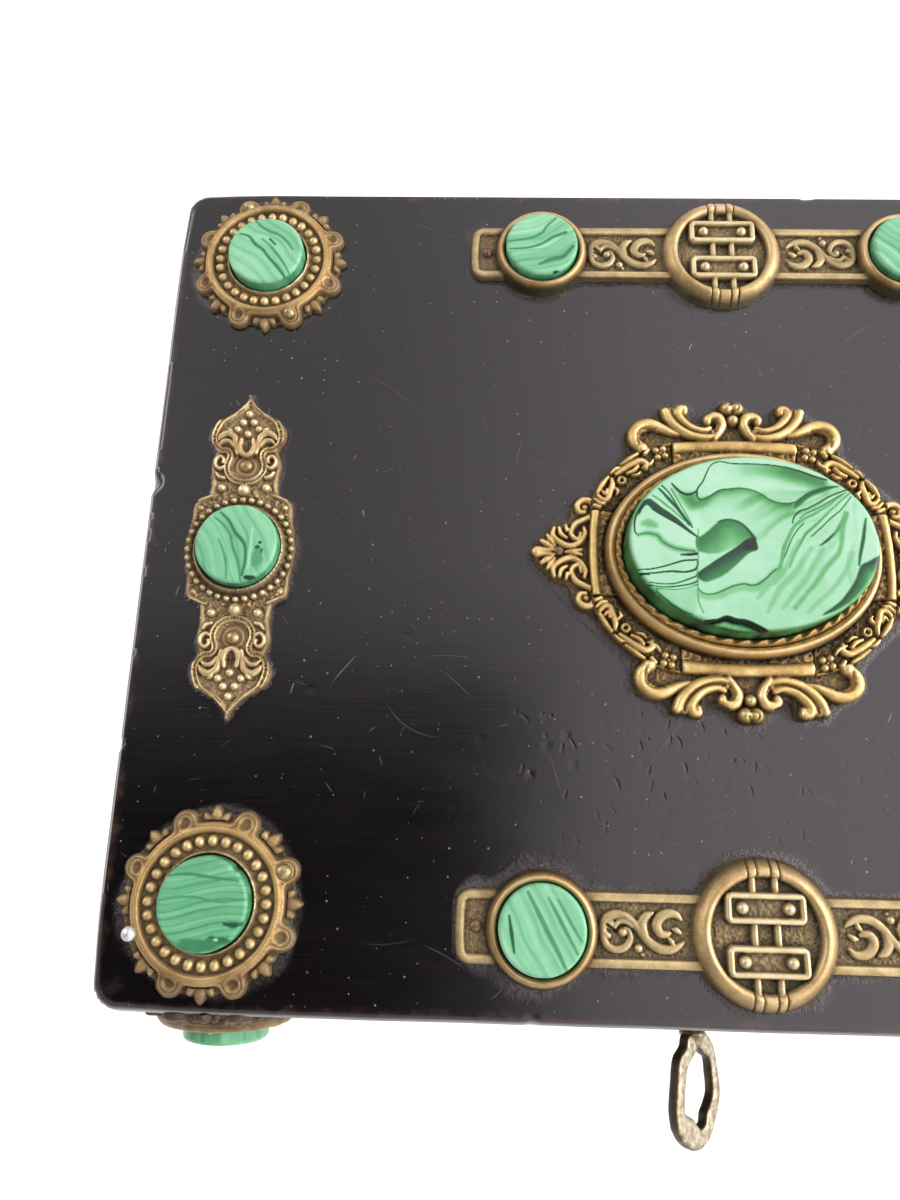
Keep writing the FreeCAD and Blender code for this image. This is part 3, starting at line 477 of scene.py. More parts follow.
def brass_material(name, recess, mid, high, gold, shift=0.0):
    g = Graph(name)
    v = g.coord()
    wear = g.attr("wear")
    n1 = g.noise(v, 0.35, 4.0, 0.6)
    n2 = g.noise(v, 2.4, 3.0, 0.6)
    # tone from the relief attribute, whose lighter ridges and darker hollows are painted highlight and shade as well as
    # wear, broken up by noise
    f = g.math("MULTIPLY_ADD", wear, 0.52, 0.47 + shift)
    f = g.math("MULTIPLY_ADD", n1, 0.36, g.math("ADD", f, -0.18))
    f = g.math("MULTIPLY_ADD", n2, 0.26, g.math("ADD", f, -0.13))
    half = tuple(0.5 * np.array(recess) + 0.5 * np.array(mid))
    col = g.ramp(f, [(0.04, recess), (0.26, half), (0.48, mid), (0.70, high), (0.95, gold)])
    green = g.math("MULTIPLY", g.rng(f, 0.45, 0.12, 0.0, 0.45), g.rng(g.noise(v, 0.2, 3.0, 0.6), 0.45, 0.62, 0.0, 1.0))
    col = g.mix(green, col, lin((104, 106, 74)))
    warm = g.math("MULTIPLY", g.attr("warm"), g.rng(g.noise(v, 0.16, 3.0, 0.6), 0.3, 0.7, 0.45, 1.0))
    col = g.mix(warm, col, (0.66, 0.47, 0.27, 1.0), "MULTIPLY")
    # the dark attribute darkens patina patches, and paints shade into stone seats, gaps and low ground
    dark = g.math("MULTIPLY", g.attr("dark"), g.rng(g.noise(v, 0.4, 3.0, 0.6), 0.3, 0.7, 0.55, 1.0))
    col = g.mix(dark, col, (0.16, 0.13, 0.10, 1.0), "MULTIPLY")
    g.set(Base_Color=col, Metallic=g.rng(f, 0.1, 0.7, 0.22, 0.68), Roughness=g.rng(f, 0.15, 0.9, 0.62, 0.38))
    fine = g.noise(v, 6.0, 2.0, 0.5)
    g.set(Normal=g.bump(fine, 0.25, 0.00012))
    return g.mat


def stone_material(name, stops, scale=1.0):
    g = Graph(name)
    v = g.coord()
    t = g.attr("tone")
    n = g.noise(v, 0.5 * scale, 3.0, 0.6)
    n2 = g.noise(v, 3.5, 2.0, 0.5)
    f = g.math("MULTIPLY_ADD", n, 0.10, g.math("ADD", t, -0.05))
    f = g.math("MULTIPLY_ADD", n2, 0.05, g.math("ADD", f, -0.025))
    g.set(Base_Color=g.ramp(f, stops), Roughness=g.rng(n, 0.3, 0.7, 0.3, 0.42), Specular_IOR_Level=0.4)
    g.set(Normal=g.bump(g.noise(v, 1.3, 3.0, 0.6), 0.12, 0.0003))
    return g.mat


def scratch_layer(g, cell, reach, width, keep, shift, lean=0.0, sweep=6.2832, flat=True):
    """Short marks that lie every way: one to a cell, turned and bent by the cell's own random colour."""
    v = g.coord(1000.0 / cell, 1000.0 / cell, 1000.0 / cell)
    if not flat:
        p = g.xyz(v)
        turn = g.node("ShaderNodeCombineXYZ")
        g.put(turn.inputs[0], g.math("ADD", p[0], p[1]))
        g.put(turn.inputs[1], g.math("ADD", p[2], g.math("SUBTRACT", p[0], p[1])))
        v = turn.outputs[0]
    sh = g.node("ShaderNodeVectorMath", operation="ADD")
    g.put(sh.inputs[0], v)
    sh.inputs[1].default_value = (shift, shift * 0.37, 0.0)
    vo = g.node("ShaderNodeTexVoronoi", feature="F1", voronoi_dimensions="2D")
    vo.inputs["Scale"].default_value = 1.0
    g.put(vo.inputs["Vector"], sh.outputs[0])
    loc = g.node("ShaderNodeVectorMath", operation="SUBTRACT")
    g.put(loc.inputs[0], sh.outputs[0])
    g.put(loc.inputs[1], vo.outputs["Position"])
    c = g.xyz(vo.outputs["Color"])
    rot = g.node("ShaderNodeVectorRotate", rotation_type="Z_AXIS")
    g.put(rot.inputs["Vector"], loc.outputs[0])
    g.put(rot.inputs["Angle"], g.math("MULTIPLY_ADD", c[0], sweep, lean))
    q = g.xyz(rot.outputs[0])
    bend = g.math("MULTIPLY", g.math("MULTIPLY", q[0], q[0]), g.math("MULTIPLY_ADD", c[1], 1.6, -0.8))
    across = g.math("ABSOLUTE", g.math("ADD", q[1], bend))
    line = g.rng(across, width, width * 0.3, 0.0, 1.0)
    ends = g.rng(g.math("DIVIDE", g.math("ABSOLUTE", q[0]), g.math("MULTIPLY_ADD", c[1], 0.95, 0.3)), reach, reach * 0.4, 0.0, 1.0)
    some = g.rng(c[2], keep, keep + 0.25, 0.0, 1.0)
    return g.math("MULTIPLY", g.math("MULTIPLY", line, ends), some)


def wood_material(name, lid=False):
    g = Graph(name)
    v = g.coord()
    p = g.xyz(v)
    ax, ay, az = g.math("ABSOLUTE", p[0]), g.math("ABSOLUTE", p[1]), p[2]
    gr = g.noise(g.coord(60.0, 1400.0, 1400.0), 1.0, 4.0, 0.6)
    col = g.ramp(gr, [(0.30, (9, 6, 8)), (0.55, (13, 10, 12)), (0.75, (22, 16, 17))])
    smear = g.noise(g.coord(500.0, 1500.0, 1000.0), 0.035, 5.0, 0.62, 0.8)
    rough = g.rng(smear, 0.3, 0.75, 0.15, 0.22)
    # rubbed edges and corners
    ex, ey = g.math("SUBTRACT", 117.2, ax), g.math("SUBTRACT", 84.0, ay)
    side = g.math("MINIMUM", ex, ey)
    ez = g.math("MINIMUM", g.math("ABSOLUTE", g.math("SUBTRACT", 105.0, az)), g.math("ABSOLUTE", g.math("SUBTRACT", 68.0, az)))
    ez = g.math("MINIMUM", ez, g.math("ABSOLUTE", az))
    rub = g.math("MAXIMUM", side, ez)
    cor = g.math("MULTIPLY", g.math("MAXIMUM", ex, ey), 0.45)
    rub = g.math("MINIMUM", rub, cor)
    rub = g.math("ADD", rub, g.rng(g.noise(v, 0.22, 4.0, 0.65), 0.25, 0.75, -1.3, 1.6))
    edge = g.rng(rub, 2.6, 0.3, 0.0, 1.0, True)
    edge = g.math("MULTIPLY", edge, g.rng(g.noise(g.coord(350.0, 350.0, 350.0), 0.25, 3.0, 0.6), 0.35, 0.65, 0.3, 1.0))
    col = g.mix(g.math("MULTIPLY", edge, 0.8), col, lin((70, 48, 39)))
    # a near-black line along the joint at z = 68: painted shadow of the gap between lid and body
    col = g.mix(g.rng(g.math("ABSOLUTE", g.math("SUBTRACT", 68.0, az)), 0.35, 0.1, 0.0, 1.0), col, lin((4, 3, 3)))
    # dust specks, scratches and hairlines
    wob = g.noise(v, 0.04, 2.0, 0.5)
    vo = g.node("ShaderNodeTexVoronoi", feature="F1", voronoi_dimensions="2D" if lid else "3D")
    g.put(vo.inputs["Vector"], v)
    vo.inputs["Scale"].default_value = 0.42
    vc = g.xyz(vo.outputs["Color"])
    size = g.math("MULTIPLY_ADD", g.math("POWER", vc[1], 2.0), 0.075, 0.04)
    speck = g.math("MULTIPLY", g.rng(g.math("DIVIDE", vo.outputs["Distance"], size), 1.0, 0.5, 0.0, 1.0), g.rng(vc[0], 0.80, 0.97, 0.0, 1.0))
    sc1 = scratch_layer(g, 6.0, 0.26, 0.020, 0.74, 0.0, flat=lid)
    sc2 = scratch_layer(g, 17.0, 0.30, 0.006, 0.66, 5.3, flat=lid)
    sc3 = scratch_layer(g, 46.0, 0.40, 0.0018, 0.60, 9.1, flat=lid)
    sc1 = g.math("MULTIPLY", sc1, g.rng(wob, 0.40, 0.58, 0.05, 1.0))
    # nicks, thickest in front of the middle mount
    nick = scratch_layer(g, 3.9, 0.34, 0.10, 0.34, 2.7, 0.6, 1.3)
    near = g.math("ADD", g.math("POWER", g.math("MULTIPLY", g.math("ADD", p[0], -8.0), 1 / 46.0), 2.0), g.math("POWER", g.math("MULTIPLY", g.math("ADD", p[1], 38.0), 1 / 15.0), 2.0))
    near = g.rng(g.math("ADD", near, g.rng(g.noise(v, 0.07, 3.0, 0.6), 0.3, 0.7, 0.7, -0.7)), 1.5, 0.2, 0.0, 1.0, True)
    nick = g.math("MULTIPLY", nick, near)
    if lid:
        top = g.rng(az, 103.5, 104.5, 0.0, 1.0)
        speck, nick, sc1, sc2, sc3 = [g.math("MULTIPLY", m, top) for m in (speck, nick, sc1, sc2, sc3)]
    marks = g.math("MAXIMUM", g.math("MAXIMUM", g.math("MULTIPLY", speck, 0.9), g.math("MULTIPLY", nick, 0.04)), g.math("MAXIMUM", g.math("MULTIPLY", sc1, 0.20), g.math("MAXIMUM", g.math("MULTIPLY", sc2, 0.20), g.math("MULTIPLY", sc3, 0.18))))
    col = g.mix(g.math("MULTIPLY", marks, 0.75), col, lin((150, 142, 138)))
    if lid:
        crust = g.math("MULTIPLY", g.attr("crust"), g.rng(g.noise(v, 1.3, 4.0, 0.7), 0.36, 0.66, 0.15, 1.0))
        tint = g.ramp(g.noise(v, 0.5, 4.0, 0.65), [(0.3, (54, 44, 36)), (0.5, (84, 71, 57)), (0.72, (118, 104, 86))])
        col = g.mix(g.math("MULTIPLY", crust, 0.9), col, tint)
        rough = g.math("MULTIPLY_ADD", crust, 0.45, rough)
    g.set(Base_Color=col, Roughness=g.math("MULTIPLY_ADD", edge, 0.14, rough), Specular_IOR_Level=0.8, Specular_Tint=(1.0, 0.925, 0.97, 1.0))
    b = g.bump(gr, 0.08, 0.0001)
    seam = g.math("ABSOLUTE", g.math("SUBTRACT", 68.0, az))
    b = g.bump(g.rng(seam, 0.55, 0.0, 0.0, 1.0, True), 0.9, -0.0004, b)
    b = g.bump(g.math("MAXIMUM", sc1, g.math("MULTIPLY", sc2, 0.5)), 0.5, -0.00010, b)
    b = g.bump(nick, 0.38, -0.00012, b)
    b = g.bump(g.noise(v, 0.05, 4.0, 0.6), 0.06, 0.0006, b)
    if lid:
        b = g.bump(g.math("MULTIPLY", crust, g.noise(v, 1.6, 3.0, 0.7)), 0.8, 0.0005, b)
    g.set(Normal=b)
    return g.mat


def metal_material(name, dark, mid, high, rough, scale=0.8, streak=(1.0, 1.0, 1.0), bump=0.2, metal=1.0):
    g = Graph(name)
    v = g.coord(1000 * streak[0], 1000 * streak[1], 1000 * streak[2])
    n = g.noise(v, scale, 5.0, 0.62)
    big = g.noise(g.coord(), 0.09, 3.0, 0.6)
    f = g.math("ADD", n, g.rng(big, 0.3, 0.7, -0.16, 0.16))
    g.set(Base_Color=g.ramp(f, [(0.2, dark), (0.5, mid), (0.8, high)]), Metallic=metal, Roughness=g.rng(n, 0.25, 0.75, rough + 0.12, rough - 0.08))
    g.set(Normal=g.bump(n, bump, 0.0002))
    return g.mat


def silk_material(name, dark, mid, high):
    g = Graph(name)
    v = g.coord()
    w1 = g.noise(g.coord(700, 5200, 5200), 0.5, 2.0, 0.5)
    n = g.noise(v, 0.05, 4.0, 0.6)
    hgt = g.attr("high")
    # higher puffs and the cards' faces come out lighter, hollows and rolled edges darker: painted light and shade on
    # the silk
    f = g.math("MULTIPLY_ADD", w1, 0.35, g.math("MULTIPLY_ADD", n, 0.5, g.math("MULTIPLY_ADD", hgt, 0.06, -0.1)))
    g.set(Base_Color=g.ramp(f, [(0.1, dark), (0.45, mid), (0.85, high)]), Roughness=g.rng(w1, 0.3, 0.7, 0.42, 0.55), Sheen_Weight=0.5, Sheen_Roughness=0.35)
    g.set(Normal=g.bump(w1, 0.25, 0.0001))
    return g.mat


M_BRASS = brass_material("aged_brass", (66, 55, 39), (152, 128, 89), (208, 183, 136), (240, 220, 178))
M_BRASS_R = brass_material("aged_brass_dark", (58, 45, 31), (147, 118, 79), (204, 175, 124), (238, 215, 169))
M_BRASS_E = brass_material("aged_brass_pale", (76, 62, 44), (150, 124, 88), (196, 171, 128), (226, 206, 166), 0.05)
M_BRASS_C = brass_material("worn_gilt", (64, 48, 29), (156, 123, 72), (212, 177, 114), (244, 219, 165), 0.02)
DISC = [(0.0, (14, 44, 32)), (0.22, (40, 100, 68)), (0.45, (78, 154, 108)), (0.68, (116, 190, 142)), (0.88, (148, 212, 168)), (1.0, (182, 230, 196))]
OVAL = [(0.0, (12, 28, 28)), (0.2, (28, 72, 50)), (0.42, (58, 134, 72)), (0.62, (108, 186, 118)), (0.82, (172, 226, 188)), (1.0, (208, 244, 218))]
M_DISC = stone_material("banded_stone", [(p, tuple(0.88 * np.array(c))) for p, c in DISC])
M_OVAL = stone_material("banded_stone_pale", [(p, tuple(0.86 * np.array(c))) for p, c in OVAL])
M_WOOD = wood_material("ebonised_wood")
M_LID = wood_material("ebonised_wood_lid", True)
M_NAIL = metal_material("nail_brass", (92, 72, 46), (162, 138, 98), (206, 184, 144), 0.36, 1.6, metal=0.75)
M_NAIL_CU = metal_material("nail_copper", (66, 46, 36), (124, 92, 74), (170, 138, 116), 0.42, 1.6, metal=0.6)
M_NAIL_FE = metal_material("nail_steel", (150, 148, 146), (204, 203, 200), (232, 232, 230), 0.34, 1.6, metal=0.6)
g = Graph("key_metal")
v = g.coord()
kn = g.noise(v, 0.7, 5.0, 0.65)
kf = g.math("ADD", g.math("MULTIPLY_ADD", g.attr("wear"), 0.75, 0.0), g.rng(kn, 0.25, 0.75, 0.02, 0.66))
g.set(Base_Color=g.ramp(kf, [(0.0, (62, 46, 24)), (0.2, (82, 63, 38)), (0.42, (104, 87, 64)), (0.68, (144, 130, 107)), (0.95, (192, 179, 157))]), Metallic=g.rng(kf, 0.1, 0.6, 0.3, 0.9), Roughness=g.rng(kn, 0.3, 0.7, 0.5, 0.36))
g.set(Normal=g.bump(kn, 0.3, 0.0003))
M_KEY = g.mat
M_LOCKB = metal_material("lock_brass", (120, 92, 48), (182, 146, 84), (214, 182, 122), 0.38, 0.25, (0.25, 3.0, 3.0))
M_STEEL = metal_material("lock_steel", (80, 78, 76), (140, 138, 136), (190, 188, 186), 0.36, 0.4, (0.3, 3.0, 3.0))
M_SILK = silk_material("lining_silk", (52, 8, 16), (112, 20, 34), (156, 44, 58))
M_CARD = silk_material("lining_card_silk", (48, 8, 15), (104, 19, 32), (140, 38, 50))


def show(o, mat, body, nodes):
    mats = mat if isinstance(mat, (list, tuple)) else [mat]
    for m in mats:
        o.data.materials.append(m)
    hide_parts(*([nodes] if isinstance(nodes, str) else nodes))
    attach(o, body)
    return o


# ---------------------------------------------------------------- round mounts
def rosette(broken=None, seed=1):
    nz = Noise(seed)
    leafs = [Line([(13.6, 0.0), (14.7, 0.0), (15.5, 0.0), (16.3, 0.0)], [1.15, 1.15, 0.85, 0.3], 3),
             Line([(13.6, 1.3), (14.2, 1.6), (14.7, 1.9)], [0.85, 0.85, 0.6], 3)]

    def parts(x, y):
        r, th = np.hypot(x, y), np.arctan2(y, x)
        a = fold(th, 8, PI / 8)
        lx, ly = r * np.cos(a) - 14.35, r * np.sin(a)
        dl = np.hypot(lx, ly)
        lobe = dl - 2.4
        if broken is not None:
            lobe = np.where(np.abs(fold(th, 1, broken)) < PI / 8, 5.0, lobe)
        b = fold(th, 8)
        tx, ty = r * np.cos(b), np.abs(r * np.sin(b))
        best, dist = np.zeros(x.shape), np.full(x.shape, 9.0)
        for L in leafs:
            e, d = L.eval(tx, ty)
            best, dist = np.maximum(best, e), np.minimum(dist, d)
        # the band with its lobes, joined by a soft fillet
        k = 1.3
        q = np.clip(0.5 + 0.5 * (lobe - (r - 14.0)) / k, 0, 1)
        raised = lobe * (1 - q) + (r - 14.0) * q - k * q * (1 - q)
        return r, th, lobe, dl, best, dist, lx, ly, raised

    def sdf(x, y):
        r, th, lobe, dl, best, dist, lx, ly, raised = parts(x, y)
        return np.minimum(np.minimum(r - 15.25, raised - 0.1), dist - 0.1) + 0.2 * nz(x * 0.8, y * 0.8)

    def height(x, y):
        r, th, lobe, dl, best, dist, lx, ly, raised = parts(x, y)
        h = 0.72 + 0.28 * nz(x * 2.3, y * 2.3)
        h = np.maximum(h, np.where(best > 0, 0.65 + 0.95 * best ** 0.8, 0))
        e = -raised
        slope = np.interp(r, [11.6, 11.85, 12.2, 12.7, 13.4, 14.2, 15.5, 17.0], [1.8, 2.35, 2.75, 2.75, 2.35, 1.8, 1.45, 1.3])
        up = 0.95 + (slope - 0.95) * sstep(0.0, 0.55, e) ** 0.7
        h = np.where(raised < 0, np.maximum(up, h * 0.5), h)
        h = h - 0.16 * bell(e - 0.85, 0.14) * sstep(13.0, 13.5, r)
        ang = np.where(lobe < 0.3, np.arctan2(ly, lx) * 2.0, th * 13.2)
        h = h - 0.12 * bell(e - 1.25, 0.14) * (0.5 + 0.5 * np.cos(ang * 10.0)) * sstep(12.9, 13.3, r)
        inl = (lobe < 0) & (r > 12.7)
        h = np.where(inl, h - 0.42 * sstep(1.1, 0.55, dl) + 0.12 * bell(dl - 1.25, 0.2), h)
        ch = sstep(8.8, 9.0, r) * sstep(11.8, 11.6, r)
        h = h * (1 - ch) + (1.7 + 0.12 * nz(x * 2, y * 2)) * ch
        a = fold(th, 28)
        k = np.round(th * 28 / (2 * PI))
        wob = 0.10 * nz(k * 1.7 + 0.3, 0.0 * th + 2.2)
        bd = np.hypot((r * np.cos(a) - 10.45 - wob) / 1.14, r * np.sin(a))
        bead = 1.45 + (1.3 + 0.5 * nz(k * 2.3, 0.0 * th + 7.7)) * hr(bd, 1.04) ** 0.9
        h = np.where(bd < 1.04, np.maximum(h, bead), h)
        col = np.interp(r, [0, 8.2, 8.26, 8.4, 8.6, 8.8, 9.0], [1.2, 1.2, 2.2, 2.6, 2.6, 2.2, 1.7])
        h = np.where(r < 9.0, np.maximum(col + 0.3 * nz(th * 9.0, r * 0.3) * (r > 8.26), np.where(bd < 1.04, bead, 0)), h)
        return h + 0.10 * nz.fbm(x * 0.5, y * 0.5, 3)

    def warm(x, y):
        r = np.hypot(x, y)
        return 0.6 * sstep(11.6, 12.0, r) * sstep(15.2, 13.8, r)

    def dark(x, y):
        r, th, lobe, dl, best, dist, lx, ly, raised = parts(x, y)
        # the seat round the stone, the punched dots and the low plate between lobes and leaves are darkened: painted
        # shade; the noise patches are patina
        low = sstep(0.0, 0.3, raised) * sstep(0.02, -0.02, best) * (r > 13)
        patina = 0.75 * np.clip(nz.fbm(x * 0.16 + 9, y * 0.16, 3) - 0.05, 0, 0.6) * sstep(11.4, 12.0, r)
        ang = np.where(lobe < 0.3, np.arctan2(ly, lx) * 2.0, th * 13.2)
        dots = 0.6 * bell(-raised - 1.0, 0.2) * (0.55 + 0.45 * np.cos(ang * 10.0)) * (r > 12.9)
        return np.maximum(np.maximum(0.75 * sstep(9.1, 8.6, r), dots), np.maximum(0.30 * low, patina))

    return sdf, height, (-17.8, 17.8, -17.8, 17.8), {"warm": warm, "dark": dark}


# ---------------------------------------------------------------- end mounts
END_Q = [(0, 33.3), (0.7, 31.6), (2.2, 29.7), (4.7, 28.2), (6.9, 26.7), (7.7, 24.8), (7.4, 23.1), (6.6, 21.8), (6.2, 20.9), (6.5, 20.0), (7.0, 18.5),
         (7.0, 17.0), (6.7, 15.6), (6.6, 14.0), (6.8, 12.3), (7.2, 11.0), (8.3, 10.3), (9.5, 9.7), (9.9, 8.2), (10.0, 6.0), (10.4, 3.4), (10.8, 0.0)]


def end_mount(seed=2):
    nz = Noise(seed)
    q = spline(END_Q, 3)
    P = np.vstack([q, (q * [1, -1])[::-1][1:], (q * [-1, -1])[1:], (q * [-1, 1])[::-1][1:-1]])
    band = spline([(0.0, 32.6), (1.5, 30.9), (3.4, 29.0), (5.5, 27.4), (6.5, 25.4), (6.8, 23.5), (6.3, 21.9), (5.2, 21.0), (4.1, 20.9), (3.4, 20.3), (3.3, 19.3), (3.75, 18.0), (3.75, 16.6), (2.95, 15.1), (1.6, 14.2), (0.0, 13.9)], 5)
    rimline = Line(band, 0.6, 1, False)
    run = np.concatenate([[0.0], np.cumsum(np.hypot(*np.diff(band, axis=0).T))])
    leaf = [Line([(0.12, 19.8), (0.95, 20.3), (1.45, 21.4), (1.2, 23.2)], [0.5, 0.65, 0.72, 0.5]),
            Line([(1.9, 20.3), (2.3, 22.2), (2.7, 23.8), (4.1, 24.6), (5.3, 24.0), (5.9, 23.2)], [0.5, 0.62, 0.78, 0.8, 0.7, 0.35]),
            Line([(2.6, 21.6), (3.6, 22.8), (4.8, 22.9), (5.6, 22.2)], [0.4, 0.55, 0.55, 0.25]),
            Line([(3.2, 24.2), (3.5, 25.2), (4.1, 25.6)], [0.5, 0.5, 0.2]),
            Line([(4.3, 17.3), (5.2, 16.9), (6.0, 17.6), (6.1, 18.7), (5.3, 19.5), (4.5, 19.0), (4.6, 18.2)], [0.35, 0.42, 0.45, 0.45, 0.42, 0.38, 0.34]),
            Line([(4.2, 14.9), (5.2, 15.2), (5.8, 16.0)], [0.35, 0.45, 0.3]),
            Line([(6.2, 11.0), (7.4, 10.5), (8.7, 10.0)], [0.3, 0.38, 0.3])]
    grapes = [(0.0, 24.45, 0.88), (2.2, 25.5, 0.86), (1.08, 27.0, 0.86), (0.0, 28.9, 0.86)]

    def sdf(x, y):
        d, s = poly(np.abs(x), np.abs(y), P)
        return d + 0.12 * nz(x * 0.9, y * 0.9)

    def height(x, y):
        u, v = np.abs(x), np.abs(y)
        d, s = poly(u, v, P)
        e = -d
        r = np.hypot(x, y)
        th = np.arctan2(y, x)
        h = 1.0 + 0.38 * nz(x * 2.6, y * 2.6) + 0.16 * nz(x * 1.1, y * 1.1)
        rim = 0.55 + 0.85 * hr(e - 0.45, 0.5) ** 0.7
        h = np.where(e < 0.9, np.maximum(rim, np.where(e < 0.45, 0.0, h)), h)
        # rope line inside the edge of the middle part
        h = h + 0.34 * hr(np.hypot(e - 1.15, (s % 0.8) - 0.4), 0.36) * (v < 11.2) * (r > 10.9)
        # keyhole band: two fine ridges with a row of beads between them
        b, bdist = rimline.eval(u, v)
        off = bdist + 0.6
        wb = np.zeros(u.shape)
        best = np.full(u.shape, 1e9)
        for i in range(0, len(band)):
            dd = (u - band[i, 0]) ** 2 + (v - band[i, 1]) ** 2
            m = dd < best
            best = np.where(m, dd, best)
            wb = np.where(m, run[i], wb)
        hb = 1.15 + 0.62 * hr(off - 0.42, 0.24) + 0.40 * hr(off, 0.24) * (0.6 + 0.4 * np.cos(2 * PI * wb / 0.62))
        h = np.where(off < 0.68, np.maximum(h * 0.85, hb), h)
        dn = np.hypot(u, v - 17.6)
        h = np.where(dn < 2.75, 0.72 + 0.25 * bell(dn - 1.9, 0.25) + 0.05 * nz(x * 2, y * 2), h)
        for L in leaf:
            b, _ = L.eval(u, v)
            h = np.maximum(h, np.where(b > 0, 0.95 + 1.2 * b ** 0.65, 0))
        for gx, gy, gr in grapes:
            gd = np.hypot(u - gx, v - gy)
            h = np.maximum(h, np.where(gd < gr, 0.9 + 1.3 * hr(gd, gr) ** 0.85, 0))
        h = h - 0.45 * bell(u, 0.22) * bell(v - 22.0, 0.9) - 0.3 * bell(np.hypot(u - 0.75, v - 21.9), 0.3)
        for bx, by, br, bh in ((0, 12.25, 1.38, 1.75), (4.45, 12.8, 0.95, 1.35), (2.5, 11.1, 0.45, 0.5), (6.4, 13.9, 0.5, 0.5), (8.4, 8.6, 0.7, 0.8)):
            bd = np.hypot(u - bx, v - by)
            h = np.maximum(h, np.where(bd < br, 0.9 + bh * hr(bd, br), 0))
        a = fold(th, 36)
        bd = np.hypot(r * np.cos(a) - 10.2, r * np.sin(a))
        h = np.where((r > 9.2) & (r < 10.9), np.minimum(h, 1.25), h)
        bead = np.where(bd < 0.68, 1.1 + 1.0 * hr(bd, 0.68) ** 0.85, 0)
        h = np.maximum(h, bead)
        col = np.interp(r, [0, 8.2, 8.28, 8.42, 8.62, 8.85, 9.2, 9.4], [1.2, 1.2, 2.2, 2.6, 2.7, 2.3, 1.35, 1.25]) - 0.26 * (0.5 + 0.5 * np.cos(th * 60.0)) * bell(r - 8.8, 0.2)
        h = np.where(r < 9.4, np.maximum(col + 0.2 * nz(th * 9.0, r * 0.3) * (r > 8.3), bead), h)
        return h + 0.08 * nz.fbm(x * 0.6, y * 0.6, 2) + 0.14 * nz(x * 2.6, y * 2.6) * sstep(15.0, 12.0, r) * (r > 8.9)

    def warm(x, y):
        return 0.35 * bell(np.abs(y) - 21.0, 3.0) * sstep(12, 13, np.abs(y))

    def dark(x, y):
        r = np.hypot(x, y)
        dull = np.clip(0.22 + 0.6 * nz.fbm(x * 0.4 + 5, y * 0.4, 3), 0, 0.55) * sstep(16.0, 11.5, r)
        # the collet and seat round the stone are darkened: painted shade round the stone; the noise patches are dull
        # tarnish
        return np.maximum(0.68 * sstep(9.6, 9.2, r), dull)

    return sdf, height, (-11.2, 11.2, -33.8, 33.8), {"warm": warm, "dark": dark}


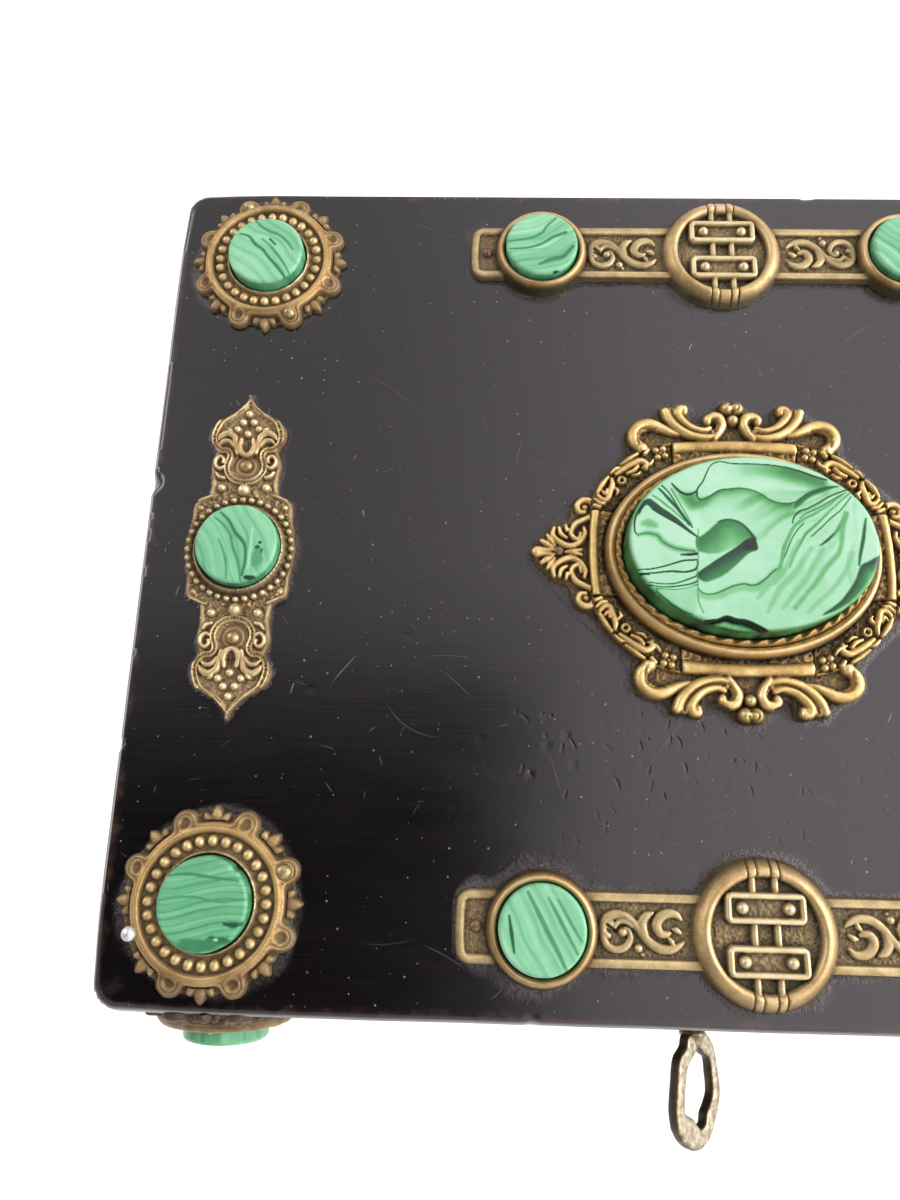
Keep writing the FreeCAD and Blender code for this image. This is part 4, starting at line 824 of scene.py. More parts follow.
# ---------------------------------------------------------------- straps
def strap(seed=3):
    nz = Noise(seed)
    trail = [(-24.0, 0.42), (-23.4, 0.12), (-23.09, -0.68), (-23.11, -1.4), (-23.65, -2.38), (-24.6, -2.96), (-25.8, -3.12), (-26.99, -2.55), (-27.69, -1.44), (-27.83, -0.16), (-27.6, 1.14), (-26.89, 2.05), (-25.76, 2.52), (-24.64, 2.55),
             (-23.61, 2.22), (-22.77, 1.56), (-21.93, 0.68), (-21.1, -0.3), (-20.36, -1.25), (-19.36, -2.1), (-18.11, -2.79), (-16.75, -2.96), (-15.55, -2.72), (-14.5, -2.13), (-13.82, -1.52)]
    scroll = [Line(trail, [0.3, 0.42, 0.5, 0.6, 0.68, 0.72, 0.7, 0.68, 0.68, 0.72, 0.82, 0.9, 0.88, 0.8, 0.74, 0.72, 0.74, 0.78, 0.82, 0.86, 0.88, 0.84, 0.72, 0.5, 0.2], 3),
              Line([(-27.3, 1.3), (-26.4, 0.95), (-25.75, 0.4)], [0.9, 0.8, 0.4]),
              Line([(-25.8, 0.5), (-25.3, 1.2), (-24.4, 1.52), (-23.4, 1.17), (-22.7, 0.6)], [0.42, 0.5, 0.5, 0.45, 0.3]),
              Line([(-27.7, -0.3), (-26.8, -0.94)], [0.6, 0.5]),
              Line([(-19.14, 2.99), (-20.24, 2.44), (-20.91, 1.48), (-20.96, 0.51), (-20.63, -0.45), (-20.19, -1.16)], [0.32, 0.78, 0.88, 0.88, 0.75, 0.5]),
              Line([(-14.19, 1.95), (-15.06, 2.77), (-16.35, 2.98), (-17.53, 2.51), (-18.33, 1.55), (-18.46, 0.57), (-17.93, -0.3), (-17.0, -0.51), (-16.27, -0.22)], [0.3, 0.7, 0.86, 0.92, 0.92, 0.9, 0.82, 0.66, 0.35]),
              Line([(-15.76, 0.4), (-15.08, 0.26), (-14.42, -0.2)], [0.25, 0.6, 0.35]),
              Line([(-16.34, -1.22), (-16.01, -1.61), (-15.73, -2.16)], [0.4, 0.5, 0.3])]
    slit = Line([(-27.1, 0.9), (-26.3, 0.4), (-25.4, -0.3)], 0.22)
    dots = [(-21.69, -2.84, 0.82), (-24.33, -0.31, 0.86), (-21.1, -3.85, 0.38)]

    def pieces(x, y):
        u, v = np.abs(x), np.abs(y)
        bar = np.maximum(u - 47.0, v - 6.35)
        disc = np.hypot(u - 38.35, y + 0.15) - 9.9
        med = np.hypot(x, y) - 12.75
        bulge = 0.45 * (1 - np.clip(v / 6.2, 0, 1) ** 2)
        tab = rbox(u - 45.6 - bulge, y, 7.4, 6.2, 2.4)
        return u, v, bar, disc, med, tab

    def sdf(x, y):
        u, v, bar, disc, med, tab = pieces(x, y)
        bar = np.where(u < 40, bar, np.maximum(bar, u - 41.0))
        return np.minimum(np.minimum(bar, disc), np.minimum(med, tab)) + 0.08 * nz(x * 0.9, y * 0.9)

    def height(x, y):
        u, v, bar, disc, med, tab = pieces(x, y)
        sx, sy = np.where(x > 0, -x, x), np.where(x > 0, -y, y)
        stip = nz(x * 3.2, y * 3.2)
        h = 0.84 + 0.32 * stip
        rail = 0.72 + 0.78 * np.minimum(sstep(4.45, 4.75, v), sstep(6.35, 6.0, v)) + 0.15 * hr(v - 5.4, 0.9)
        h = np.where(v > 4.4, rail, h)
        for L in scroll:
            b, _ = L.eval(sx, sy)
            h = np.maximum(h, np.where(b > 0, 0.80 + 0.95 * b ** 0.45, 0))
        for dx, dy, dr in dots:
            dd = np.hypot(sx - dx, sy - dy)
            h = np.maximum(h, np.where(dd < dr, 0.84 + 0.95 * hr(dd, dr), 0))
        h = h - 0.7 * slit.eval(sx, sy)[0]
        # end tab with its raised border
        et = -tab
        ht = 0.82 + 0.32 * stip
        ht = np.where(et < 1.75, 0.65 + 0.95 * hr(et - 0.9, 0.92) ** 0.7, ht)
        h = np.where(u > 45.5, ht, h)
        # bezel
        rb = disc + 9.9
        prof = np.interp(rb, [0, 7.75, 7.85, 8.1, 8.45, 8.9, 9.3, 9.6, 9.8, 9.95], [1.0, 1.0, 2.6, 3.15, 3.4, 3.25, 2.65, 1.8, 1.0, 0.3])
        h = np.where(rb < 9.85, np.where(rb < 8.3, prof, np.maximum(prof, h * (rb > 9.6))), h)
        # medallion
        rm = med + 12.75
        f = 1.55 + 0.34 * stip
        ring = np.interp(rm, [9.2, 9.45, 9.8, 10.3, 10.9, 11.6, 12.2, 12.55, 12.8], [1.6, 2.5, 3.0, 3.2, 3.05, 2.5, 1.8, 1.1, 0.6])
        hm = np.where(rm > 9.3, ring, f)
        rid = hr(u - 1.98, 0.66) ** 0.6
        hm = np.where(np.abs(u - 1.98) < 0.66, np.maximum(hm, np.where(rm < 9.6, 1.6 + rid * 1.15, hm + 0.2 * rid)), hm)
        hm = hm - 0.45 * bell(u - 1.2, 0.16) * (rm > 9.2)
        hm = hm - 0.45 * bell(u - 2.75, 0.16) * (rm > 9.2)
        pq = rbox(u, v - 4.3, 6.95, 2.6, 1.15)
        pl = np.where(pq < 0, 2.3 + 1.05 * hr(pq + 0.58, 0.6) ** 0.6 * (pq > -1.18) + 0.3 * nz(x * 2.2, y * 2.2) * (pq < -1.1), 0)
        bz = np.hypot(u - 4.0, v - 4.3)
        pl = np.where(bz < 1.15, 2.3 + 1.45 * hr(bz, 1.17), pl)
        hm = np.where(pq < 0, np.maximum(pl, hm * (pq > -0.1)), hm)
        h = np.where(rm < 12.8, np.maximum(hm, h * (rm > 12.3)), h)
        return h + 0.07 * nz.fbm(x * 0.5, y * 0.5, 3)

    def warm(x, y):
        u, v, bar, disc, med, tab = pieces(x, y)
        return np.maximum(0.95 * sstep(7.7, 8.0, disc + 9.9) * sstep(10.1, 9.7, disc + 9.9), 0.55 * sstep(9.3, 9.9, med + 12.75) * sstep(13.0, 12.4, med + 12.75))

    def dark(x, y):
        u, v, bar, disc, med, tab = pieces(x, y)
        rb, rm = disc + 9.9, med + 12.75
        # the seat round each stone and the outer, front side of each bezel are darkened: painted shade; the recessed
        # ground and the medallion's inner field are also darker
        side_ = 0.5 + 0.5 * np.clip((u - 38.35 - y) / 12.0, -1, 1)
        seat = np.maximum(0.8 * sstep(8.3, 7.9, rb), (0.14 + 0.42 * side_) * (rb < 9.95))
        field = 0.30 * (v < 4.4) * (rb > 9.95) * (rm > 12.8)
        return np.maximum(np.maximum(seat, field), 0.26 * (rm < 9.3))

    return sdf, height, (-54.0, 54.0, -13.2, 13.2), {"warm": warm, "dark": dark}


# ---------------------------------------------------------------- cartouche
def cartouche(seed=4):
    nz = Noise(seed)
    crest = [Line([(18.5, 22.0), (19.8, 23.5), (19.9, 25.2), (18.8, 26.6), (17.0, 27.2), (15.0, 26.7), (12.6, 25.6), (10.9, 25.0)], [1.2, 1.3, 1.4, 1.45, 1.4, 1.2, 0.85, 0.45]),
             Line([(3.9, 24.7), (5.9, 24.4), (8.7, 25.0), (11.1, 26.4), (12.7, 28.2), (13.5, 30.0)], [0.7, 0.95, 1.08, 1.12, 1.12, 1.0]),
             Line([(4.6, 26.5), (6.1, 25.9), (8.2, 26.4), (9.9, 27.7), (10.9, 29.3), (10.6, 30.5), (9.7, 30.6), (9.6, 29.8)], [0.55, 0.8, 0.95, 1.05, 1.1, 1.05, 0.95, 0.75]),
             Line([(3.8, 24.2), (2.8, 25.8), (2.2, 27.3), (2.8, 28.7), (4.1, 29.0), (5.0, 28.4), (5.0, 27.7)], [0.75, 1.0, 1.12, 1.2, 1.15, 1.0, 0.75])]
    flute = [Line([(19.0, 22.6), (19.2, 24.0), (18.9, 25.3), (17.6, 26.1), (15.6, 25.9)], 0.3), Line([(4.6, 25.4), (6.4, 25.2), (8.6, 25.8), (10.6, 27.2), (11.9, 29.0), (12.2, 30.2)], 0.28),
             Line([(3.5, 25.6), (2.9, 27.0), (3.3, 28.0), (4.2, 28.2)], 0.24)]
    web = Line([(4.2, 25.6), (6.0, 25.2), (8.4, 25.7), (10.5, 27.0), (11.8, 28.7), (12.2, 29.9)], [0.8, 1.1, 1.2, 1.3, 1.4, 1.2])
    balls = [(18.3, 21.9, 1.5, 2.1), (0.0, 28.2, 1.3, 2.4), (0.95, 30.9, 1.6, 2.2)]
    sides = [Line([(35.9, 4.9), (36.1, 3.3), (34.7, 1.9), (32.8, 1.2), (31.0, 2.0), (29.9, 3.7), (30.1, 5.1)], [0.45, 0.65, 0.72, 0.75, 0.7, 0.62, 0.4]),
             Line([(32.9, 4.4), (32.1, 2.9), (31.1, 2.7), (30.8, 3.9)], [0.5, 0.6, 0.5, 0.4]),
             Line([(34.9, 4.9), (34.5, 3.6), (33.5, 2.9)], [0.45, 0.6, 0.4]),
             Line([(33.6, 5.4), (33.4, 4.4)], [0.4, 0.5]),
             Line([(32.7, 3.6), (31.9, 5.6), (30.3, 6.6), (28.8, 7.4), (28.0, 8.9), (28.7, 10.4), (30.2, 10.7), (31.3, 9.7), (31.0, 8.4), (29.9, 8.2)], [0.5, 0.72, 0.68, 0.68, 0.72, 0.78, 0.78, 0.72, 0.62, 0.5]),
             Line([(36.0, 0.5), (37.6, 0.4), (39.2, 0.3), (39.9, 0.0)], [0.4, 0.6, 0.95, 0.6]),
             Line([(36.2, 0.9), (37.4, 1.6), (38.3, 2.2)], [0.4, 0.75, 0.5]),
             Line([(35.8, 1.3), (36.6, 2.4), (37.2, 3.4)], [0.4, 0.7, 0.4]),
             Line([(33.6, 0.0), (32.2, 0.2), (30.6, 0.5)], [0.4, 0.6, 0.4])]
    frond = [Line([(27.2, 11.6), (26.4, 10.8), (25.4, 10.9), (24.9, 12.3), (24.4, 13.9), (24.5, 15.2)], [0.5, 0.62, 0.68, 0.75, 0.68, 0.4]),
             Line([(26.4, 12.5), (25.8, 11.9), (25.5, 12.9)], [0.35, 0.45, 0.35]),
             Line([(27.3, 12.3), (26.4, 14.0), (25.2, 15.6)], [0.45, 0.7, 0.4]),
             Line([(28.0, 9.6), (27.0, 9.1)], [0.45, 0.5]),
             Line([(23.6, 16.2), (22.3, 17.2), (20.8, 18.2), (18.9, 19.1), (17.6, 18.5), (17.7, 17.4)], [0.45, 0.68, 0.78, 0.78, 0.7, 0.45]),
             Line([(21.4, 16.4), (20.1, 17.0), (19.3, 17.9)], [0.4, 0.55, 0.45]),
             Line([(22.6, 18.3), (21.0, 19.5), (19.3, 20.6)], [0.4, 0.62, 0.4]),
             Line([(17.8, 20.6), (17.2, 21.4)], [0.45, 0.45]),
             Line([(27.9, 10.9), (26.9, 10.0), (26.0, 9.9)], [0.35, 0.5, 0.4]),
             Line([(23.9, 13.2), (23.3, 12.6), (23.6, 11.9)], [0.35, 0.45, 0.3]),
             Line([(24.6, 16.4), (23.7, 17.3), (22.9, 17.6)], [0.35, 0.5, 0.3]),
             Line([(20.4, 15.9), (19.4, 16.1), (18.8, 16.7)], [0.3, 0.42, 0.3]),
             Line([(18.4, 17.6), (16.9, 18.3), (16.2, 19.3)], [0.3, 0.45, 0.3])]
    q = spline([(29.3, -4.2), (29.3, 0), (29.2, 4.2), (28.8, 8.4), (28.5, 11.2), (27.2, 13.8), (25.4, 16.4), (22.8, 18.9), (19.4, 21.2), (16.4, 22.4), (12.6, 23.4), (8.0, 23.8), (0.0, 24.0), (-8.0, 23.8)], 3)
    FR = np.vstack([q, [[-8.0, -4.2]]])
    hull = spline([(-2.0, 32.3), (0, 32.6), (2.0, 32.3), (3.2, 31.0), (4.0, 29.8), (5.6, 29.0), (6.6, 28.2), (7.8, 28.4), (8.1, 29.6), (8.3, 31.0), (9.2, 31.8), (10.6, 31.7), (11.8, 31.2), (12.8, 31.4),
                   (14.4, 31.0), (15.0, 29.4), (16.0, 28.6), (18.2, 28.2), (20.2, 27.2), (21.6, 25.0), (21.4, 23.0), (21.0, 21.0), (20.0, 19.6), (18.0, 18.0), (-2.0, 18.0)], 3)
    half_wing = [(40.6, 0.0), (39.9, 1.7), (38.6, 3.2), (37.3, 4.4), (36.3, 5.7), (34.4, 6.2), (32.9, 7.2), (32.6, 9.3), (31.8, 11.2), (29.9, 11.9), (28.2, 12.6), (25.0, 14.0)]
    wing = spline(half_wing + [(24.0, 0.0)] + [(a, -b) for a, b in half_wing[:0:-1]], 3, True)

    def edges(x, y):
        u, v = np.abs(x), np.abs(y)
        d = poly(u, v, FR)[0]
        d = np.where((u < 20) & (v < 18) | (ell(x, y, 27.0, 21.2) < 0), np.minimum(d, -2.5), d)
        d = np.where(ell(x, y, 26.3, 20.6) < 0, -6.0, d)
        return u, v, d, poly(u, v, hull)[0], poly(u, y, wing)[0]

    def sdf(x, y):
        u, v, d, hl, wg = edges(x, y)
        return np.minimum(np.minimum(d, hl), wg) + 0.10 * nz(x * 0.8, y * 0.8)

    def height(x, y):
        u, v, d, hl, wg = edges(x, y)
        stip = nz(x * 2.8, y * 2.8)
        S = np.minimum(np.minimum(d, hl), wg)
        h = (0.78 + 0.40 * stip) * (0.5 + 0.5 * sstep(0.0, 0.5, -S))
        b, _ = web.eval(u, v)
        h = np.maximum(h, np.where(b > 0, 0.6 + 1.8 * b ** 0.6, 0))
        for L in crest:
            b, _ = L.eval(u, v)
            h = np.maximum(h, np.where(b > 0, 0.55 + 2.1 * b ** 0.7, 0))
        for L in flute:
            h = h - 0.5 * L.eval(u, v)[0]
        coil = np.hypot(x - 0.3, v - 31.0)
        for bx, by, br, bh in balls:
            bd = np.hypot(u - bx, v - by)
            h = np.maximum(h, np.where(bd < br, 0.55 + bh * hr(bd, br), 0))
        h = h - 0.45 * bell(coil - 0.95, 0.22) * (np.arctan2(v - 31.0, x - 0.3) > -2.2)
        for L in sides:
            b, _ = L.eval(u, v)
            h = np.maximum(h, np.where(b > 0, 0.6 + 1.55 * b ** 0.7, 0))
        for bx, by, br in ((29.9, 9.2, 0.75), (39.4, 0.0, 0.7)):
            bd = np.hypot(u - bx, v - by)
            h = np.maximum(h, np.where(bd < br, 0.7 + 1.4 * hr(bd, br), 0))
        # frame round the bezel
        b26 = ell(x, y, 26.3, 20.6)
        fr = 1.2 + 0.6 * stip
        fr = np.where(d > -0.6, 0.7 + 0.85 * hr(d + 0.32, 0.36), fr)
        for L in frond:
            b, _ = L.eval(u, v)
            fr = np.maximum(fr, np.where(b > 0, 1.1 + 1.35 * b ** 0.7, 0))
        sp = np.hypot(u - 22.5, v - 14.9)
        fr = np.where(sp < 1.05, np.maximum(fr * (sp > 0.9), 1.1 + 1.1 * hr(sp - 0.66, 0.42)), fr)
        fl = np.hypot(u - 14.7, v - 20.9)
        fa = np.arctan2(v - 20.9, u - 14.7)
        ff = fold(fa, 4, 0.55)
        pet = 1.05 + 1.25 * hr(np.hypot(fl * np.cos(ff) - 1.05, fl * np.sin(ff)), 0.78) ** 0.8
        fr = np.where(fl < 1.85, np.maximum(fr * (fl > 1.7), pet), fr)
        fr = np.where(fl < 0.45, 1.1 + 0.9 * hr(fl, 0.47), fr)
        tb = (u < 12.2) & (v > 15)
        eb = (v < 8.6) & (u > 20)
        lane = np.where(tb, d + 1.45, d + 1.0)
        wide = np.where(tb, 1.3, 0.95)
        bar = 0.95 + 1.35 * hr(lane, wide) ** 0.75 + 0.07 * nz(x * 0.9, y * 0.9)
        strip = 1.55 + 0.7 * nz(x * 1.9, y * 1.9)
        fr = np.where(tb | eb, np.where(np.abs(lane) < wide, bar, np.where(d < -1.5, strip, 0.9)), fr)
        fr = fr - 0.4 * bell(u - 12.3, 0.2) * (v > 15) - 0.4 * bell(v - 8.7, 0.2) * (u > 20)
        frame_on = (d < 0) & (b26 > -0.4)
        h = np.where(frame_on, np.where(hl < -1.0, np.maximum(fr, h * (d > -0.6)), fr), h)
        h = h - 0.35 * bell(b26 - 0.15, 0.2)
        bz = 1.3 + 3.0 * hr(b26 + 1.1, 1.12) ** 0.9
        h = np.where((b26 < 0.02) & (b26 > -2.22), np.maximum(bz, 1.2), h)
        h = np.where(b26 <= -2.12, 1.2, h)
        return h + 0.08 * nz.fbm(x * 0.5, y * 0.5, 3)

    def warm(x, y):
        b26 = ell(x, y, 26.3, 20.6)
        return 0.75 * sstep(0.3, -0.3, b26) * sstep(-2.6, -2.0, b26)

    def dark(x, y):
        u, v, d, hl, wg = edges(x, y)
        b26 = ell(x, y, 26.3, 20.6)
        # the bezel is darkened, most on its outer slope: painted shade, over noise patches of patina
        bez = (0.12 + 0.38 * sstep(-1.3, -0.2, b26) + 0.5 * np.clip(nz.fbm(x * 0.12 + 3, y * 0.12, 3), -0.4, 0.6)) * sstep(0.2, -0.1, b26) * sstep(-2.6, -2.0, b26)
        top = np.zeros(u.shape)
        for L in crest + sides + frond:
            top = np.maximum(top, L.eval(u, v)[0])
        # the plate ground between the crest, side and frond strands is darkened: painted shade between the raised parts
        plate = 0.40 * sstep(0.12, 0.0, top) * (b26 > 0.3) * ((d > -0.2) | ((u > 12.2) & (v > 8.7)))
        return np.clip(np.maximum(bez, plate), 0, 1)

    return sdf, height, (-40.8, 40.8, -33.2, 33.2), {"warm": warm, "dark": dark}


# ---------------------------------------------------------------- stones
def stone_sides(nz, lo=0.36, hi=0.62):
    # tone for a stone's sides, varying round the edge; it is set below the top's tone on the lid's stones: painted
    # shade on the sides
    def f(x, y):
        a = np.arctan2(y, x)
        return lo + (hi - lo) * np.clip(0.5 + 1.1 * nz.fbm(a * 6.0 + 3.0, a * 0 + 1.7, 3), 0, 1)
    return f


def stroke_tone(t, x, y, pts, w, val, soft=0.35, amount=1.0):
    """Lays a line of tone val into the field t."""
    b, d = Line(pts, w, 6).eval(x, y, soft * 3 + 0.6)
    m = sstep(soft, -soft * 0.4, d) * amount
    return t * (1 - m) + val * m


def disc_tone(angle, seed, lines=(), patches=(), freq=1.0, bend=0.6, level=0.74, contrast=0.34):
    nz = Noise(seed)
    c, s = math.cos(angle), math.sin(angle)

    def tone(x, y):
        v = -s * x + c * y
        u = c * x + s * y
        w = v + bend * np.sin(u * 0.33 + seed) + 0.9 * nz.fbm(u * 0.16 + 4, v * 0.16 + 9, 2)
        st = nz(w * 1.05 * freq, u * 0.05 + 3.0) + 0.7 * nz(w * 2.6 * freq, u * 0.09 + 8.0) + 0.35 * nz(w * 6.0 * freq, u * 0.16)
        saw = (w * 0.62 * freq + 0.3 * nz(u * 0.2, w * 0.2)) % 1.0
        t = level + contrast * st - 0.16 * sstep(0.55, 1.0, saw) + 0.05
        for pts, wd, val in lines:
            t = stroke_tone(t, x, y, pts, wd, val, 0.22, 0.9)
        for px, py, rx, ry, val in patches:
            k = sstep(1.15, 0.7, np.hypot((x - px) / rx, (y - py) / ry) + 0.5 * nz(x * 0.9, y * 0.9))
            t = t * (1 - k) + val * k
        return np.clip(t, 0, 1)

    return tone


def disc(seed, r=8.0, top=5.3, chips=()):
    nz = Noise(seed)

    def sdf(x, y):
        a = np.arctan2(y, x)
        d = np.hypot(x, y) - r + 0.05 + 0.07 * nz(np.cos(a) * 4 + 9, np.sin(a) * 4 + 9)
        for cx, cy, cr in chips:
            d = np.maximum(d, cr - np.hypot(x - cx, y - cy))
        return d

    def height(x, y):
        e = np.clip(-sdf(x, y), 0, 0.75) / 0.75
        return top - 0.75 * (1 - np.sqrt(np.clip(1 - (1 - e) ** 2, 0, 1))) + 0.05 * nz.fbm(x * 0.35, y * 0.35, 3)

    return sdf, height, (-r - 0.3, r + 0.3, -r - 0.3, r + 0.3)


CRACK = [(-12.2, -16.1), (-9.9, -15.2), (-7.7, -15.0), (-6.0, -14.4), (-4.2, -14.9), (-2.5, -15.1), (-0.8, -15.8), (0.9, -16.6), (3.1, -17.9)]


def oval_tone():
    nz = Noise(77)

    def area(t, x, y, P, shade, soft):
        d, _ = poly(x, y, spline(P, 4, True))
        m = sstep(soft, -soft, d)
        return t * (1 - m) + shade * m

    def gap(x, y, P, far=9.0):
        return Line(P, 0.01, 5).eval(x, y, far)[1]

    def under(x, y, P):
        c = spline(P, 6)
        o = np.argsort(c[:, 0])
        return np.interp(x, c[o, 0], c[o, 1]) - y

    L = stroke_tone

    def tone(xm, ym):
        wx = nz.fbm(xm * 0.22, ym * 0.22, 3)
        wy = nz.fbm(xm * 0.22 + 40, ym * 0.22 + 9, 3)
        x, y = xm + 0.22 * wx, ym + 0.22 * wy
        t = 0.87 + 0.07 * nz.fbm(x * 0.10 + 3, y * 0.16, 3) - 0.05 * sstep(2, -14, y)
        # streaks that run from the upper right down to the lower middle
        ang = np.arctan2(y - 11.5, x - 19.5)
        rad = np.hypot(y - 11.5, x - 19.5)
        w = ang + 0.05 * np.sin(rad * 0.5) + 0.05 * wx
        st = nz(w * 11.0, rad * 0.05) + 0.5 * nz(w * 23.0 + 7, rad * 0.08)
        zone = sstep(-3.25, -2.75, -np.abs(ang + 2.35) * 4.2 - 0.2) * sstep(1.0, 4.0, rad) * sstep(26.0, 19.0, rad)
        t = t - np.clip(st - 0.02, 0, 1) * 0.30 * zone
        t = t - 0.10 * sstep(0.05, 0.5, nz(w * 9.0, rad * 0.03)) * zone
        # slopes of green under the top line and under the wave
        topl = [(-7.6, 14.3), (-6.7, 15.2), (-5.4, 15.6), (-3.2, 15.3), (-0.6, 15.2), (2.0, 15.2), (4.5, 15.0), (7.1, 14.6), (9.2, 14.0), (11.0, 13.3), (12.8, 12.7), (14.2, 12.3)]
        b = under(x, y, topl)
        m = sstep(-0.1, 0.25, b) * sstep(4.1, 1.0, b) * sstep(-5.5, 1.5, x) * sstep(15.2, 13.2, x)
        t = t - 0.44 * m * (0.5 + 0.5 * sstep(0, 8, x))
        wave = [(-10.0, 8.3), (-9.4, 8.0), (-7.9, 8.6), (-6.0, 9.8), (-4.2, 10.1), (-2.0, 10.3), (0.2, 9.9), (1.9, 9.1), (3.3, 8.1), (4.7, 7.5), (6.5, 7.4), (8.0, 7.7)]
        b = under(x, y, wave)
        m = sstep(-0.08, 0.1, b) * np.exp(-np.clip(b, 0, 99) / 1.25) * sstep(-10.6, -9.2, x) * sstep(8.6, 7.0, x)
        t = t - 0.58 * m * (0.7 + 0.3 * sstep(4, -9, x))
        t = area(t, x, y, [(-14.1, 10.1), (-12.7, 9.1), (-10.3, 9.3), (-10.0, 8.2), (-7.9, 8.4), (-9.5, 6.6), (-11.3, 6.0), (-12.4, 7.1)], 0.46, 1.0)
        blade = [(8.0, 7.7), (9.2, 8.7), (10.7, 9.7), (12.6, 10.5), (14.5, 11.0), (16.3, 11.0), (15.1, 10.6), (12.5, 9.6), (10.2, 8.2), (8.5, 6.8), (7.6, 6.4)]
        t = area(t, x, y, blade, np.clip(0.16 + 0.22 * gap(x, y, blade[:6]), 0, 0.6), 0.22)
        # tongue
        up = [(-10.7, 0.4), (-9.8, 0.8), (-8.3, 2.0), (-6.4, 3.6), (-4.6, 4.1), (-2.8, 3.7), (-1.4, 2.7), (-0.4, 1.5), (0.2, 0.5), (-1.2, 0.6), (-3.0, -0.8), (-5.3, -1.9), (-7.1, -2.5), (-8.9, -2.5), (-10.6, -1.7)]
        sh = 0.27 + 0.07 * gap(x, y, up[:9]) + 0.016 * (x + 10) + 0.04 * nz(x, y)
        t = area(t, x, y, up, np.clip(sh, 0.25, 0.7), 0.28)
        t = L(t, x, y, up[3:9], [0.05, 0.12, 0.2], 0.14, 0.25)
        lo = [(0.2, 0.6), (0.6, -1.2), (0.2, -1.8), (-1.3, -2.5), (-3.6, -4.6), (-5.9, -6.5), (-8.1, -7.6), (-9.5, -7.9), (-10.7, -7.1), (-10.7, -6.3), (-8.6, -4.8), (-5.7, -2.7), (-3.0, -0.9), (-1.2, 0.5)]
        ld = gap(x, y, [(0.3, 0.3), (-1.2, 0.5), (-3.0, -0.9), (-5.7, -2.7), (-8.6, -4.8), (-10.7, -6.3)])
        t = area(t, x, y, lo, np.clip(0.06 + 0.13 * ld - 0.010 * (x + 4), 0, 0.5), 0.2)
        t = area(t, x, y, [(-1.6, -0.2), (0.1, 0.2), (0.5, -1.1), (0.0, -1.7), (-2.2, -1.6)], 0.03, 0.35)
        # dark lines at the top
        t = L(t, x, y, topl, [0.06, 0.09, 0.08, 0.08, 0.10, 0.15, 0.18, 0.12], 0.05, 0.07)
        t = L(t, x, y, [(11.8, 14.6), (13.6, 13.7), (14.8, 12.7), (16.0, 12.0), (16.9, 11.3)], [0.05, 0.18, 0.2, 0.1], 0.05, 0.12)
        t = L(t, x, y, [(-7.6, 14.3), (-8.1, 13.3), (-8.9, 11.7), (-9.9, 10.3), (-10.1, 9.3), (-10.0, 8.4), (-9.4, 8.0)], [0.08, 0.10, 0.14, 0.08], 0.12, 0.10)
        t = L(t, x, y, [(-14.7, 11.1), (-14.1, 10.3), (-13.2, 9.4), (-11.9, 8.9), (-10.8, 9.2), (-10.3, 9.7)], [0.10, 0.18, 0.20, 0.08], 0.03, 0.10)
        t = L(t, x, y, wave, [0.06, 0.10, 0.06, 0.05, 0.05, 0.09], 0.2, 0.10)
        # pleats on the left
        t = L(t, x, y, [(-14.8, 9.9), (-13.8, 7.9), (-12.6, 5.6), (-11.4, 3.1)], [0.10, 0.08, 0.08], 0.42, 0.12)
        t = L(t, x, y, [(-16.5, 10.6), (-15.2, 9.1), (-13.9, 6.7), (-12.5, 4.4), (-11.3, 2.5)], [0.10, 0.09, 0.12], 0.08, 0.08)
        t = L(t, x, y, [(-17.0, 10.0), (-15.3, 7.9), (-13.5, 5.6), (-11.9, 2.9)], [0.14, 0.26, 0.24, 0.12], 0.22, 0.12)
        pw = [(-20.8, 5.8), (-20.0, 7.4), (-18.9, 8.0), (-17.9, 7.4), (-14.7, 4.8), (-11.9, 2.1), (-10.2, 0.7), (-11.2, 1.2), (-13.7, 2.9), (-16.1, 4.5), (-18.3, 6.0), (-19.3, 6.8), (-20.2, 6.0), (-21.0, 4.7)]
        t = area(t, x, y, pw, 0.13, 0.12)
        t = L(t, x, y, [(-18.3, 6.0), (-16.1, 4.5), (-13.7, 2.9), (-11.2, 1.2), (-10.2, 0.6)], [0.10, 0.12, 0.12], 0.02, 0.08)
        t = L(t, x, y, [(-18.2, 8.6), (-15.6, 6.6), (-12.6, 3.6)], [0.10, 0.12, 0.08], 0.45, 0.12)
        t = L(t, x, y, [(-20.2, 6.8), (-21.0, 5.6), (-21.6, 4.3), (-21.9, 2.7), (-21.8, 1.4), (-21.3, 0.8)], [0.16, 0.13, 0.10, 0.10], 0.04, 0.10)
        gl = [(-21.3, 0.8), (-19.5, 1.2), (-17.7, 0.9), (-16.7, -0.3), (-14.9, -1.4), (-12.8, -1.9), (-11.0, -2.1)]
        t = L(t, x, y, gl, [0.15, 0.45, 0.5, 0.45, 0.3], 0.60, 0.55, 0.9)
        t = L(t, x, y, gl, [0.05, 0.08, 0.09, 0.08], 0.30, 0.09)
        t = L(t, x, y, [(-20.2, 3.1), (-19.1, 3.2), (-18.0, 2.8)], [0.3, 0.7, 0.4], 0.62, 0.7)
        t = L(t, x, y, [(-13.5, -2.8), (-12.1, -2.8), (-10.7, -2.6)], [0.10, 0.22, 0.26], 0.02, 0.09)
